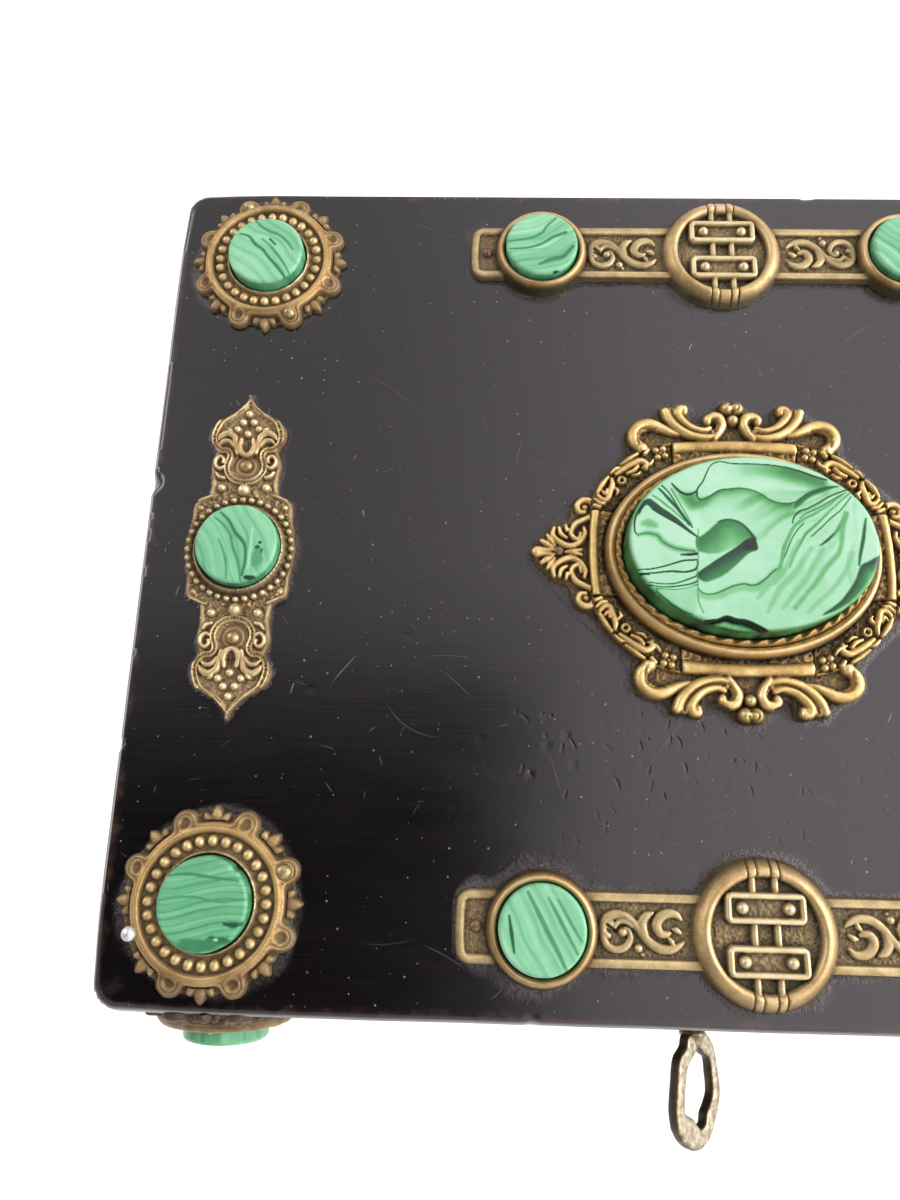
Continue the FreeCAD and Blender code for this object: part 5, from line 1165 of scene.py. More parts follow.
        # fan of lines at the lower left
        t = L(t, x, y, [(-22.5, -7.2), (-21.2, -6.8), (-19.4, -6.7)], [0.12, 0.16, 0.08], 0.03, 0.08)
        t = L(t, x, y, [(-21.4, -5.9), (-18.7, -5.6), (-15.8, -4.8), (-13.2, -4.0), (-10.7, -3.8)], [0.08, 0.10, 0.12, 0.12], 0.06, 0.08)
        t = L(t, x, y, [(-21.2, -6.6), (-18.3, -6.4), (-15.8, -6.0), (-13.0, -6.1), (-11.2, -5.7), (-10.6, -5.0), (-10.5, -4.1)], [0.08, 0.12, 0.14, 0.16, 0.14], 0.05, 0.08)
        t = L(t, x, y, [(-19.5, -8.2), (-17.7, -8.4), (-15.2, -8.3), (-12.3, -7.4), (-10.7, -6.8)], [0.06, 0.09, 0.12], 0.2, 0.09)
        t = L(t, x, y, [(-19.5, -8.7), (-17.4, -9.0), (-14.9, -8.8), (-12.0, -8.3), (-10.7, -7.7)], [0.06, 0.10, 0.12], 0.16, 0.09)
        t = L(t, x, y, [(-18.4, -9.3), (-16.0, -9.4), (-13.1, -9.2), (-10.9, -8.4)], [0.06, 0.08, 0.08], 0.3, 0.09)
        t = area(t, x, y, [(-18.1, -9.6), (-14.5, -9.5), (-11.0, -8.8), (-10.9, -11.4), (-11.6, -13.8), (-13.6, -13.1), (-16.0, -11.5)], 0.76, 0.5)
        t = L(t, x, y, [(-18.4, -9.3), (-17.9, -10.1), (-17.1, -10.8), (-15.4, -12.2), (-13.3, -13.5), (-11.9, -14.0)], [0.06, 0.09, 0.06], 0.45, 0.10)
        t = L(t, x, y, [(-10.3, 2.1), (-10.3, -1.7), (-10.6, -5.5), (-10.8, -9.2), (-10.7, -11.8), (-10.0, -13.6)], [0.08, 0.07, 0.09, 0.07], 0.48, 0.12)
        # lower line and the folds to the right
        s1 = [(-10.8, -9.2), (-10.0, -9.9), (-8.6, -10.2), (-6.8, -9.7), (-4.6, -8.7), (-2.4, -8.2), (-1.0, -8.4), (0.1, -8.2), (1.6, -7.1), (2.7, -6.0), (3.8, -5.2), (4.6, -4.8)]
        t = L(t, x, y, [(a, b - 0.5) for a, b in s1], [0.2, 0.5, 0.6, 0.55, 0.45], 0.64, 0.7, 0.85)
        t = L(t, x, y, s1, [0.05, 0.08, 0.10, 0.10, 0.12, 0.10, 0.06], 0.28, 0.10)
        t = L(t, x, y, [(4.2, -5.0), (5.2, -2.9), (6.1, -1.0), (7.1, 0.9), (8.3, 2.5), (9.3, 3.6)], [0.08, 0.08, 0.07], 0.24, 0.09)
        t = L(t, x, y, [(7.2, 3.6), (7.6, 4.8), (8.6, 5.9), (10.1, 6.5), (12.0, 7.5), (13.9, 8.7), (15.8, 9.6), (17.7, 10.4)], [0.09, 0.12, 0.09, 0.10, 0.10], 0.12, 0.09)
        t = L(t, x, y, [(4.0, -5.4), (4.7, -3.7), (5.2, -1.4), (6.3, 0.9), (7.6, 3.0), (9.6, 4.6), (11.5, 5.6), (13.8, 7.2), (16.5, 9.2)], [0.2, 0.25, 0.2, 0.15], 0.56, 0.3)
        t = L(t, x, y, [(18.0, 9.6), (15.6, 7.5), (13.6, 5.6), (11.7, 3.7), (9.7, 1.7), (8.5, -0.2), (7.2, -2.1), (6.0, -4.8)], [0.08, 0.10, 0.2, 0.15], 0.5, 0.25)
        t = L(t, x, y, [(18.3, 9.0), (16.2, 6.4), (13.9, 4.5), (11.9, 2.5), (10.4, 1.0)], [0.07, 0.10, 0.08], 0.32, 0.12)
        t = L(t, x, y, [(17.4, 9.8), (14.6, 8.2), (12.0, 6.6), (9.9, 5.6), (8.6, 4.6)], [0.06, 0.08, 0.06], 0.3, 0.10)
        t = area(t, x, y, [(17.3, 5.9), (15.7, 3.8), (14.5, 2.0), (12.4, -0.2), (11.8, -0.6), (14.1, 1.0), (15.6, 2.6), (16.5, 3.7)], 0.38, 0.4)
        t = L(t, x, y, [(12.0, -0.5), (13.2, 0.5), (14.4, 1.7)], [0.05, 0.14, 0.05], 0.12, 0.15)
        t = L(t, x, y, [(17.0, 5.6), (16.2, 3.6), (15.9, 1.6), (15.6, -0.4), (14.7, -2.4), (12.7, -4.7), (10.3, -8.0), (8.0, -10.7), (6.4, -12.5)], [0.4, 0.35, 0.3, 0.35, 0.25, 0.3], 0.58, 0.45, 0.9)
        for st_, wd in (([(10.2, -1.3), (8.6, -3.6), (7.0, -5.9), (5.4, -7.4), (3.9, -8.9), (2.7, -11.1), (1.5, -13.4)], 0.45), ([(12.3, -1.3), (10.2, -4.7), (8.6, -7.3), (6.3, -10.0), (4.3, -12.6)], 0.4),
                        ([(17.6, -1.9), (15.8, -5.7), (13.4, -8.7), (10.7, -11.3), (8.8, -13.2)], 0.3), ([(4.5, -5.9), (2.9, -7.4), (1.4, -9.0), (-0.1, -10.8)], 0.35), ([(8.1, 0.2), (6.5, -2.9), (4.8, -5.9), (2.9, -8.0)], 0.35)):
            t = L(t, x, y, st_, [wd * 0.5, wd, wd, wd * 0.4], 0.66, 0.5, 0.85)
        t = L(t, x, y, [(20.6, 4.7), (20.1, 2.7), (19.6, 0.4), (19.0, -1.9), (18.5, -4.3)], [0.05, 0.20, 0.26, 0.2, 0.08], 0.22, 0.30)
        cres = [(22.8, -2.2), (20.6, -3.4), (18.8, -4.5), (17.7, -6.8), (16.2, -9.0), (14.3, -11.3), (11.2, -13.7), (14.2, -12.6), (17.2, -10.5), (19.5, -8.2), (21.3, -5.6), (22.6, -3.4)]
        t = area(t, x, y, cres, np.clip(0.10 + 0.2 * gap(x, y, cres[:7]), 0, 0.55), 0.25)
        # broken edge at the bottom
        t = L(t, x, y, CRACK, [0.12, 0.25, 0.3, 0.28, 0.25, 0.15], 0.0, 0.10)
        b = under(xm, ym, CRACK)
        m = sstep(0.3, 0.6, b) * sstep(-12.0, -10.8, xm) * sstep(3.0, 2.0, xm)
        t = t * (1 - m) + (0.40 + 0.25 * sstep(0.3, 1.1, b) * sstep(2.0, 1.2, b)) * m
        # darker over the outer rounded edge of the top: painted shade
        rim = ell(xm, ym, 23.0, 17.0)
        t = t - 0.30 * sstep(-0.75, -0.1, rim)
        return np.clip(t, 0, 1)

    return tone


def oval():
    nz = Noise(78)

    def sdf(x, y):
        a = np.arctan2(y / 17.0, x / 23.0)
        return ell(x, y, 22.95, 16.95) + 0.25 * np.clip(nz.fbm(np.cos(a) * 7 + 9, np.sin(a) * 7 + 9, 3), 0, 1)

    def height(x, y):
        d = sdf(x, y)
        e = np.clip(-d, 0, 0.9) / 0.9
        h = 9.9 - 0.8 * (1 - np.sqrt(np.clip(1 - (1 - e) ** 2, 0, 1)))
        cl = np.interp(x, [p[0] for p in CRACK], [p[1] for p in CRACK])
        m = sstep(-12.4, -11.4, x) * sstep(3.1, 2.2, x)
        h = h - (1.5 + 0.5 * nz.fbm(x * 0.5, y * 0.5, 3)) * sstep(-0.05, 0.35, cl - y) * m - 0.5 * bell(cl - y - 0.2, 0.2) * m
        return h + 0.14 * nz.fbm(x * 0.12, y * 0.12, 4)

    return sdf, height, (-23.4, 23.4, -17.4, 17.4)


# ---------------------------------------------------------------- build the mounts
NX, NY = 96.9, 65.2
rb = 202.5 * PI / 180
on_top = []


def mount(name, made, step, cx, cy, rot, mat, node, spread=1.0, ring=None):
    f, h, bx, more = made
    on_top.append((f if ring is None else (lambda x, y: np.hypot(x, y) - ring - 0.5 * np.sin(3.0 * np.arctan2(y, x) + cx)), bx, cx, cy, rot, spread, 1.0 if ring is None else 0.42))
    return show(relief(name, f, h, bx, step, on_lid(cx, cy, rot), more=more), mat, "lid", node)


for tag, cx, cy, br, sd in (("front_left", -NX, -NY, rb, 11), ("front_right", NX, -NY, None, 12), ("back_left", -NX, NY, None, 13), ("back_right", NX, NY, None, 14)):
    mount("rosette_relief_" + tag, rosette(br, sd), 0.15, cx, cy, 0.0, M_BRASS_R, "rosette_" + tag, 1.2, 15.9)
for tag, cx, sd in (("left", -NX, 15), ("right", NX, 16)):
    f, h, bx, more = rosette(None, sd)
    # the rim rosettes on the lid's upright front face are darkened all over, most on the outer band: painted shade
    rim_painted_shade = {"warm": more["warm"], "dark": lambda x, y, m=more["dark"]: np.maximum(m(x, y), 0.60 + 0.20 * sstep(11.6, 12.6, np.hypot(x, y)))}
    show(relief("rim_rosette_relief_" + tag, f, lambda x, y, h=h: h(x, y) + 1.4 * sstep(13.3, 11.6, np.hypot(x, y)), bx, 0.17, on_rim(cx, 87.0), more=rim_painted_shade), M_BRASS_R, "lid", "rim_rosette_" + tag)
mount("end_mount_relief_left", end_mount(21), 0.14, -97.4, 0.0, 0.018, M_BRASS_E, "end_mount_left")
mount("end_mount_relief_right", end_mount(22), 0.14, 97.1, 0.0, 0.0, M_BRASS_E, "end_mount_right")
for tag, cy in (("front", -67.9), ("back", 67.9)):
    mount("strap_relief_" + tag, strap(31 if tag == "front" else 32), 0.17, 0.0, cy, 0.0, M_BRASS, "strap_" + tag, 2.1)
mount("cartouche_relief", cartouche(), 0.19, 0.0, 0.5, 0.0, M_BRASS_C, "cartouche", 1.3)


# ---------------------------------------------------------------- lid board, with its dents, rubbed edges and the old polish and grime round the mounts
def lid_board():
    nz = Noise(500)
    rs = np.random.RandomState(501)
    dents = []
    for i in range(120):
        if i < 60:
            x, y = rs.normal(6.0, 24.0), rs.normal(-38.0, 8.0)
        else:
            x, y = rs.uniform(-112, 112), rs.uniform(-80, 80)
        a, ra = rs.uniform(0.6, 1.5), rs.uniform(0.5, 1.1)
        dents.append((x, y, a, ra, ra * rs.uniform(0.4, 0.8), rs.uniform(0.03, 0.10)))
    chips = [(-117.3, 14.5, 2.6, 1.1), (-117.3, -38.0, 1.4, 0.6), (-40.0, -84.2, 1.8, 0.5), (60.0, -84.2, 2.4, 0.8), (117.3, 30.0, 2.2, 0.9), (20.0, 84.2, 2.0, 0.7)]

    def sdf(x, y):
        return rbox(x, y, 117.18, 83.98, np.where((x < 0) & (y < 0), 5.2, 5.0)) + 0.08 * np.clip(nz.fbm(x * 0.05, y * 0.05, 3), 0, 1)

    def height(x, y):
        d = -sdf(x, y)
        cor = bell(np.hypot(np.maximum(117.2 - np.abs(x), 0), np.maximum(84.0 - np.abs(y), 0)), 12.0)
        rf = 1.25 + 1.3 * cor + 0.35 * sstep(-70, -84, y) + 0.3 * nz.fbm(x * 0.06, y * 0.06, 3)
        t = 1 - np.clip(d, 0, rf) / rf
        h = 7.97 - rf * (1 - np.sqrt(np.clip(1 - t * t, 0, 1)))
        for cx, cy, cr, dp in chips:
            q = np.hypot(x - cx, y - cy) + 0.6 * nz(x * 0.7, y * 0.7)
            h = h - dp * sstep(cr, cr * 0.3, q)
        for dx, dy, a, ra, rb_, dp in dents:
            m = (np.abs(x - dx) < 3) & (np.abs(y - dy) < 3)
            if m.any():
                px, py = x[m] - dx, y[m] - dy
                u, v = (px * math.cos(a) + py * math.sin(a)) / ra, (-px * math.sin(a) + py * math.cos(a)) / rb_
                q = np.hypot(u, v)
                h[m] = h[m] - dp * sstep(1.0, 0.2, q) + 0.18 * dp * bell(q - 1.15, 0.2)
        return np.minimum(h + 0.05 * nz.fbm(x * 0.03, y * 0.03, 3) - 0.02, 7.99)

    FILL = np.array([(40.4, 0.0), (37.5, 4.9), (34.0, 8.6), (30.4, 12.8), (26.0, 17.4), (21.8, 21.6), (21.4, 26.4), (17.4, 28.4), (14.6, 31.2), (9.0, 31.6), (5.6, 30.4), (2.4, 32.2), (0.0, 32.4), (0.0, 0.0)])

    def crust(x, y):
        d = np.full(x.shape, 9.0)
        amount = np.ones(x.shape)
        for f, bx, cx, cy, rot, spread, gain in on_top:
            c, s_ = math.cos(rot), math.sin(rot)
            lx, ly = c * (x - cx) + s_ * (y - cy), -s_ * (x - cx) + c * (y - cy)
            m = (lx > bx[0] - 5) & (lx < bx[1] + 5) & (ly > bx[2] - 5) & (ly < bx[3] + 5)
            d[m] = np.minimum(d[m], f(lx[m], ly[m]) / spread)
            amount[m] = np.minimum(amount[m], gain)
        w = 0.75 + 1.9 * np.clip(nz.fbm(x * 0.09 + 5, y * 0.09, 3), -0.4, 0.6) + 0.4 * nz(x * 0.6, y * 0.6)
        c = sstep(np.maximum(w, 0.3), 0.0, d) * (0.65 + 0.6 * nz.fbm(x * 0.12 + 30, y * 0.12, 2)) * amount
        # the hollows between the middle mount's wings and crests are filled with old polish
        dc, _ = poly(np.abs(x), np.abs(y - 0.5), FILL)
        return np.maximum(c, sstep(0.9, -0.6, dc + 0.8 * nz(x * 0.5, y * 0.5)) * (0.78 + 0.3 * nz(x * 0.4, y * 0.4)))

    return sdf, height, (-117.6, 117.6, -84.4, 84.4), crust


f, h, bx, crust = lid_board()
show(relief("lid_top_board", f, h, bx, 0.66, lambda x, y, z: np.stack([x, y, 97.0 + z], -1) * 0.001, more={"crust": crust}), M_LID, "lid", "lid_top")

# gallery strip round the oval stone, with its scalloped edge bent over
NT = 1040
th = np.arange(NT) * 2 * PI / NT
path = np.column_stack([23.78 * np.cos(th), 17.85 * np.sin(th)])
OFFS = [0.60, 0.52, 0.36, 0.18, 0.0, -0.18, -0.36, -0.48, -0.54]


def collet_profile(t):
    pts = [(0.60, 1.25)]
    for o in OFFS:
        base = 3.75 + 0.45 * (1 - (o / 0.62) ** 2)
        leaf = 0.42 * max(0.0, math.cos(2 * PI * 46 * t + 2.6 * o)) ** 0.7 * (1 - (o / 0.62) ** 4) - 0.30 * max(0.0, math.cos(2 * PI * 46 * t + 2.6 * o + PI)) ** 0.7
        pts.append((o, base + leaf))
    pts.append((-0.54, 1.25))
    return pts


show(ring_sweep("oval_gallery_strip", path, collet_profile, on_lid(0.0, 0.5)), M_BRASS_C, "lid", "oval_collet")

# ---------------------------------------------------------------- stones
K = 0.10
FLs = disc_tone(0.06, 41, [([(4.2, -3.0), (5.8, -3.2), (7.3, -3.0)], [0.15, 0.4, 0.2], K), ([(-7, 4.4), (-3, 4.9), (2, 4.4), (6, 4.0)], [0.1, 0.22, 0.1], 0.35), ([(-7.4, 0.6), (-2, 1.2), (3, 0.5), (7.4, 1.0)], [0.1, 0.16, 0.1], 0.42)],
                [(3.2, -5.8, 2.3, 0.8, 0.25), (3.1, -5.6, 0.5, 0.3, 0.98), (0.0, -6.6, 5.0, 1.2, 0.36)], 1.35, 0.5, 0.62, 0.17)
BLs = disc_tone(-0.72, 42, [([(-3.0, 7.7), (-1.4, 5.8), (0.7, 4.4), (2.5, 3.7), (4.4, 2.1), (5.9, 0.0)], [0.15, 0.3, 0.15], 0.38),
                            ([(-5.6, 3.8), (-3.6, 3.1), (-2.1, 1.2), (-0.5, 0.0), (1.0, -2.0), (2.5, -3.7), (4.1, -5.8), (5.2, -7.4)], [0.12, 0.3, 0.25, 0.3, 0.15], 0.24),
                            ([(-0.8, 2.5), (1.0, 0.9), (2.9, -1.5), (4.4, -3.7), (5.9, -6.4)], [0.12, 0.25, 0.12], 0.36), ([(0.9, 2.5), (2.1, 1.2)], [0.2, 0.15], 0.15)], [], 0.6, 0.5, 0.78, 0.15)
ELs = disc_tone(-1.15, 43, [([(-4.5, 5.1), (-2.7, 3.7), (-1.1, 1.5), (-0.4, -0.9), (0.6, -3.1), (1.2, -5.2), (1.6, -7.4)], [0.1, 0.22, 0.12], 0.36),
                            ([(-3.4, 6.1), (-1.7, 4.6), (-0.2, 2.1), (1.3, 0.5), (2.0, -0.9), (2.2, -3.4), (1.8, -6.4)], [0.12, 0.3, 0.18], 0.22),
                            ([(-3.3, 0.6), (-2.1, -1.8), (-1.4, -4.3), (-1.1, -7.1)], [0.1, 0.2, 0.1], 0.4), ([(3.0, 3.0), (3.0, -1.0), (2.9, -5.0)], [0.15, 0.25, 0.15], 0.95)],
                [(4.5, -2.7, 1.2, 2.2, 0.48), (4.75, 0.15, 0.34, 0.3, 0.0), (4.25, -0.75, 0.5, 0.34, 0.12), (5.2, -1.5, 0.3, 0.6, 0.28), (3.3, -6.8, 1.0, 0.5, 0.04)], 0.7, 0.4, 0.76, 0.20)
FSs = disc_tone(-1.05, 44, [([(-2.5, 6.1), (-0.8, 2.9), (1.0, -0.5), (2.7, -3.6), (4.1, -6.5)], [0.2, 0.36, 0.36, 0.2], 0.40), ([(1.0, 5.3), (3.2, 1.3), (5.9, -3.6)], [0.1, 0.28, 0.12], 0.38),
                            ([(-5.7, 2.2), (-5.3, -0.5), (-4.8, -3.6)], [0.1, 0.28, 0.12], 0.06), ([(2.6, 5.0), (4.6, 1.6), (6.6, -1.6)], [0.1, 0.2, 0.1], 0.42)], [], 0.6, 0.3, 0.80, 0.16)
BSs = disc_tone(0.42, 45, [([(-7.0, 0.2), (-4.2, 0.7), (-1.7, 1.4), (0.1, 2.5), (1.0, 4.0), (2.9, 6.0)], [0.12, 0.25, 0.15], 0.34), ([(-6.7, -1.6), (-2.7, -1.2), (0.1, -0.2), (2.2, 1.3), (5.0, 2.5)], [0.12, 0.22, 0.3], 0.28),
                           ([(-0.5, -5.2), (1.9, -4.1), (4.4, -3.3), (6.5, -0.9)], [0.2, 0.5, 0.3], 0.3)], [(3.4, -7.2, 1.1, 0.6, 0.02)], 0.6, 0.8, 0.78, 0.2)
discs = [("stone_front_left", -NX, -NY, 5.3, FLs, 8.0, [(5.9, 6.9, 1.4)]), ("stone_front_right", NX, -NY, 5.3, disc_tone(0.5, 51), 8.0, []), ("stone_back_left", -NX, NY, 5.3, BLs, 8.0, []),
         ("stone_back_right", NX, NY, 5.3, disc_tone(-0.4, 52), 8.0, []), ("stone_end_left", -97.1, 0.0, 5.3, ELs, 8.0, []), ("stone_end_right", 97.1, 0.0, 5.3, disc_tone(1.1, 53), 8.0, []),
         ("stone_strap_front_left", -38.4, -67.9, 4.6, FSs, 7.65, []), ("stone_strap_front_right", 38.4, -67.9, 4.6, disc_tone(0.9, 54), 7.65, []),
         ("stone_strap_back_left", -38.4, 67.9, 4.6, BSs, 7.65, []), ("stone_strap_back_right", 38.4, 67.9, 4.6, disc_tone(-0.9, 55), 7.65, [])]
for i, (nm, cx, cy, top, tone, r, chips) in enumerate(discs):
    f, h, bx = disc(60 + i, r, top, chips)
    show(relief(nm + "_banded", f, h, bx, 0.12, on_lid(cx, cy), 1.25, tone, stone_sides(Noise(160 + i))), M_DISC, "lid", nm)
for i, (tag, cx) in enumerate((("left", -NX), ("right", NX))):
    f, h, bx = disc(80 + i, 8.0, 7.0)
    show(relief("rim_stone_%s_banded" % tag, f, h, bx, 0.14, on_rim(cx, 87.0), 2.65, disc_tone(0.3 - i, 56 + i), stone_sides(Noise(180 + i), 0.5, 0.85)), M_DISC, "lid", "rim_stone_" + tag)
f, h, bx = oval()
show(relief("stone_centre_oval_banded", f, h, bx, 0.14, on_lid(0.0, 0.5), 1.25, oval_tone(), stone_sides(Noise(190), 0.22, 0.48)), M_OVAL, "lid", "stone_centre_oval")

# ---------------------------------------------------------------- nails
rng = np.random.RandomState(5)


def nail(place, r, base, dome, mi):
    prof = [(0, base + dome)] + [(r * math.sin(a), base + dome * math.cos(a)) for a in np.linspace(0.15, PI / 2, 9)] + [(r * 0.96, base - 0.15), (0.55, base - 0.2), (0.5, -1.2), (0, -1.4)]
    v, q, t = lathe(prof, 26, place, 0.94 + 0.06 * rng.rand())
    return v, q, t, mi, {"wear": 0.2}


lobes = [(-NX, -NY, 22.5), (-NX, -NY, 202.5), (NX, -NY, 157.5), (NX, -NY, 337.5), (-NX, NY, -67.5), (-NX, NY, 112.5), (NX, NY, 67.5), (NX, NY, -112.5)]
parts = []
for k, (cx, cy, a) in enumerate(lobes):
    rr = 14.1
    p = on_lid(cx + rr * math.cos(a * PI / 180), cy + rr * math.sin(a * PI / 180))
    parts.append(nail(p, 1.32, 2.45, 1.1, 2) if k == 1 else nail(p, 1.3 if k else 1.55, 1.85, 1.3, 0))
for sx in (-1, 1):
    for sy in (-1, 1):
        parts.append(nail(on_lid(sx * 97.1 - (0.35 if sx < 0 else 0.0) - 0.3 * sy * (sx < 0), sy * 17.65), 1.42, 0.75, 1.2, 0))
        parts.append(nail(on_lid(sx * 49.8, sy * 67.9), 1.15, 1.0, 0.9, 1))
    parts.append(nail(on_lid(sx * 35.0, 0.8), 1.15, 1.0, 0.9, 1))
show(join_parts("mount_nails_top", parts), [M_NAIL, M_NAIL_CU, M_NAIL_FE], "lid", "mount_pins_top")
parts = []
for cx, angs in ((-NX, (247.5, 292.5)), (NX, (247.5, 292.5))):
    for a in angs:
        parts.append(nail(on_rim(cx + 14.1 * math.cos(a * PI / 180), 87.0 + 14.1 * math.sin(a * PI / 180)), 1.28, 1.8, 1.15, 0))
show(join_parts("mount_nails_rim", parts), [M_NAIL], "lid", "mount_pins_rim")


# ---------------------------------------------------------------- lining
def quilt(hx, hy, edge, rise, cells, seed, slack=0.12):
    nz = Noise(seed)
    px, py = cells

    def sdf(x, y):
        return rbox(x, y, hx, hy, 2.0)

    def height(x, y):
        a = x / px + y / py
        b = x / px - y / py
        sa, sb = np.abs(np.sin(PI * a / 2)), np.abs(np.sin(PI * b / 2))
        puff = (sa * sb) ** 0.42
        d = -sdf(x, y)
        rim = np.sqrt(np.clip(1 - (1 - np.clip(d, 0, 7.0) / 7.0) ** 2, 0, 1))
        fa = a / 2 - np.round(a / 2)
        fb = b / 2 - np.round(b / 2)
        knot = np.hypot((fa + fb) * px, (fa - fb) * py)
        ca = np.arctan2((fa - fb) * py, (fa + fb) * px)
        pleat = 0.22 * np.cos(ca * 12.0) * bell(knot - 2.6, 2.2)
        h = edge + rise * rim * (0.28 + 0.72 * puff) + (pleat + slack * nz.fbm(x * 0.16, y * 0.16, 3)) * rim
        btn = np.where(knot < 1.9, edge + rise * 0.30 + 0.9 * hr(knot, 1.9), 0)
        return np.maximum(h, btn * (rim > 0.9))

    return sdf, height, (-hx - 0.6, hx + 0.6, -hy - 0.6, hy + 0.6)


f, h, bx = quilt(104.5, 72.0, 1.2, 2.75, (20.9, 18.0), 301)
pad = show(relief("floor_pad_quilted", f, h, bx, 0.7, lambda x, y, z: np.stack([x, y, 6.0 + z], -1) * 0.001), M_SILK, "carcass", "floor_pad")
f, h, bx = quilt(104.5, 72.0, 1.4, 3.5, (20.9, 18.0), 302)
pad = show(relief("lid_pad_quilted", f, h, bx, 0.7, lambda x, y, z: np.stack([x, -y, 97.0 - z], -1) * 0.001), M_SILK, "lid", "lid_pad")


def card_piece(length, z0, z1, seed, place, edge=0.35, rise=1.05):
    """A silk-covered card for one wall: the silk rolls over its edges and lies in faint upright pleats."""
    nz = Noise(seed)
    hz = (z1 - z0) / 2
    nx, nz_ = int(length / 1.1), int((z1 - z0) / 1.1)
    xs, zs = np.linspace(-length / 2, length / 2, nx + 1), np.linspace(-hz, hz, nz_ + 1)
    X, Z = np.meshgrid(xs, zs)
    d = np.minimum(length / 2 - np.abs(X), hz - np.abs(Z))
    rim = np.sqrt(np.clip(1 - (1 - np.clip(d, 0, 2.2) / 2.2) ** 2, 0, 1))
    H = edge + rise * rim * (0.86 + 0.14 * np.sin(X * 0.9 + 1.2 * nz(X * 0.1, Z * 0.05)) * sstep(0, 4, d) + 0.10 * nz.fbm(X * 0.12, Z * 0.08, 3))
    H = np.minimum(H, edge + rise)
    n = X.size
    top = place(X.reshape(-1), Z.reshape(-1) + (z0 + z1) / 2, H.reshape(-1))
    low = place(X.reshape(-1), Z.reshape(-1) + (z0 + z1) / 2, np.zeros(n))
    q = np.arange(n).reshape(X.shape)
    a = np.stack([q[:-1, :-1], q[:-1, 1:], q[1:, 1:], q[1:, :-1]], -1).reshape(-1, 4)
    ring = np.concatenate([q[0, :-1], q[:-1, -1], q[-1, :0:-1], q[:0:-1, 0]])
    nx2 = np.roll(ring, -1)
    wall = np.stack([nx2, ring, ring + n, nx2 + n], -1)
    quads = np.concatenate([a, a[:, ::-1] + n, wall])
    return np.concatenate([top, low]), quads, np.zeros((0, 3), int), 0, {"high": np.concatenate([H.reshape(-1) * 2, H.reshape(-1) * 0])}


def cards(name, node, body, z0, z1, seed):
    lx, ly = 106.5, 74.0
    P = []
    P.append(card_piece(2 * lx - 3.2, z0, z1, seed, lambda a, z, h: np.stack([a, -ly + h, z], -1) * 0.001))
    P.append(card_piece(2 * lx - 3.2, z0, z1, seed + 1, lambda a, z, h: np.stack([-a, ly - h, z], -1) * 0.001))
    P.append(card_piece(2 * ly - 3.2, z0, z1, seed + 2, lambda a, z, h: np.stack([lx - h, a, z], -1) * 0.001))
    P.append(card_piece(2 * ly - 3.2, z0, z1, seed + 3, lambda a, z, h: np.stack([-lx + h, -a, z], -1) * 0.001))
    o = join_parts(name, P)
    return show(o, M_CARD, body, node)


cards("body_lining_silk", "body_lining_cards", "carcass", 6.0, 67.4, 401)
cards("lid_lining_silk", "lid_lining_cards", "lid", 68.6, 97.0, 411)


# ---------------------------------------------------------------- key
def key_place(t, s, w):
    a = 48.0 * PI / 180
    return np.stack([t * math.cos(a) - w * math.sin(a), -s, 50.0 + t * math.sin(a) + w * math.cos(a)], -1) * 0.001


def around(P, centre, n):
    """A closed outline as n points at even angles round a centre."""
    C = spline(P, 10, True) - centre
    a = np.unwrap(np.arctan2(C[:, 1], C[:, 0]))
    if a[-1] < a[0]:
        a, C = a[::-1], C[::-1]
    r = np.hypot(C[:, 0], C[:, 1])
    a, r = np.concatenate([a - 2 * PI, a, a + 2 * PI]), np.tile(r, 3)
    o = np.argsort(a)
    ang = np.arange(n) * 2 * PI / n
    rr = np.interp(ang, a[o], r[o])
    return np.column_stack([np.cos(ang) * rr, np.sin(ang) * rr]) + centre


BOW = [(-1.6, 3.0), (0.6, 4.4), (2.2, 6.6), (4.3, 7.6), (8.9, 8.5), (12.5, 9.1), (16.0, 8.7), (18.0, 7.6), (19.6, 6.2), (21.3, 3.4), (21.6, 0.6), (21.1, -1.2), (19.7, -3.7), (16.8, -5.6), (14.9, -6.8),
       (11.7, -7.9), (8.7, -7.7), (6.0, -7.2), (2.8, -6.5), (1.1, -5.7), (-0.5, -4.2), (-1.6, -2.6)]
EYE = [(1.3, -0.3), (3.1, -2.4), (4.4, -4.2), (7.6, -4.7), (11.2, -4.9), (13.6, -3.4), (14.9, -2.2), (16.8, -1.6), (17.5, 0.2), (16.4, 1.7), (15.2, 2.9), (13.8, 5.4), (12.8, 5.8), (11.0, 5.7), (7.9, 5.1), (4.7, 4.0), (3.0, 1.9), (1.9, 0.5)]
nk = Noise(90)
NB = 220
cen = np.array([9.4, 0.4])
O, I = around(BOW, cen, NB), around(EYE, cen, NB)


def toward(a, b, d):
    v = b - a
    return a + v / np.hypot(v[:, 0], v[:, 1])[:, None] * d


rows = []
for P, t in ((toward(I, O, 0.45), 1.6), (toward(I, O, 1.1), 1.66), (toward(O, I, 1.1), 1.66), (toward(O, I, 0.45), 1.58), (toward(O, I, 0.12), 1.4), (O, 1.1), (O, 0.35), (O, -0.4), (toward(O, I, 0.2), -0.75),
             (toward(O, I, 0.6), -0.9), (toward(I, O, 0.6), -0.9), (toward(I, O, 0.15), -0.7), (I, -0.4), (I, 0.35), (I, 1.1), (toward(I, O, 0.12), 1.42)):
    tt = t + 0.10 * nk.fbm(P[:, 0] * 0.4, P[:, 1] * 0.4, 3)
    rows.append(key_place(tt, 97.5 + P[:, 0], P[:, 1]))
rows = np.array(rows)
mrow = len(rows)
ids = np.arange(mrow * NB).reshape(mrow, NB)
dn = np.roll(ids, -1, 0)
bow_q = np.stack([ids, np.roll(ids, -1, 1), np.roll(dn, -1, 1), dn], -1).reshape(-1, 4)
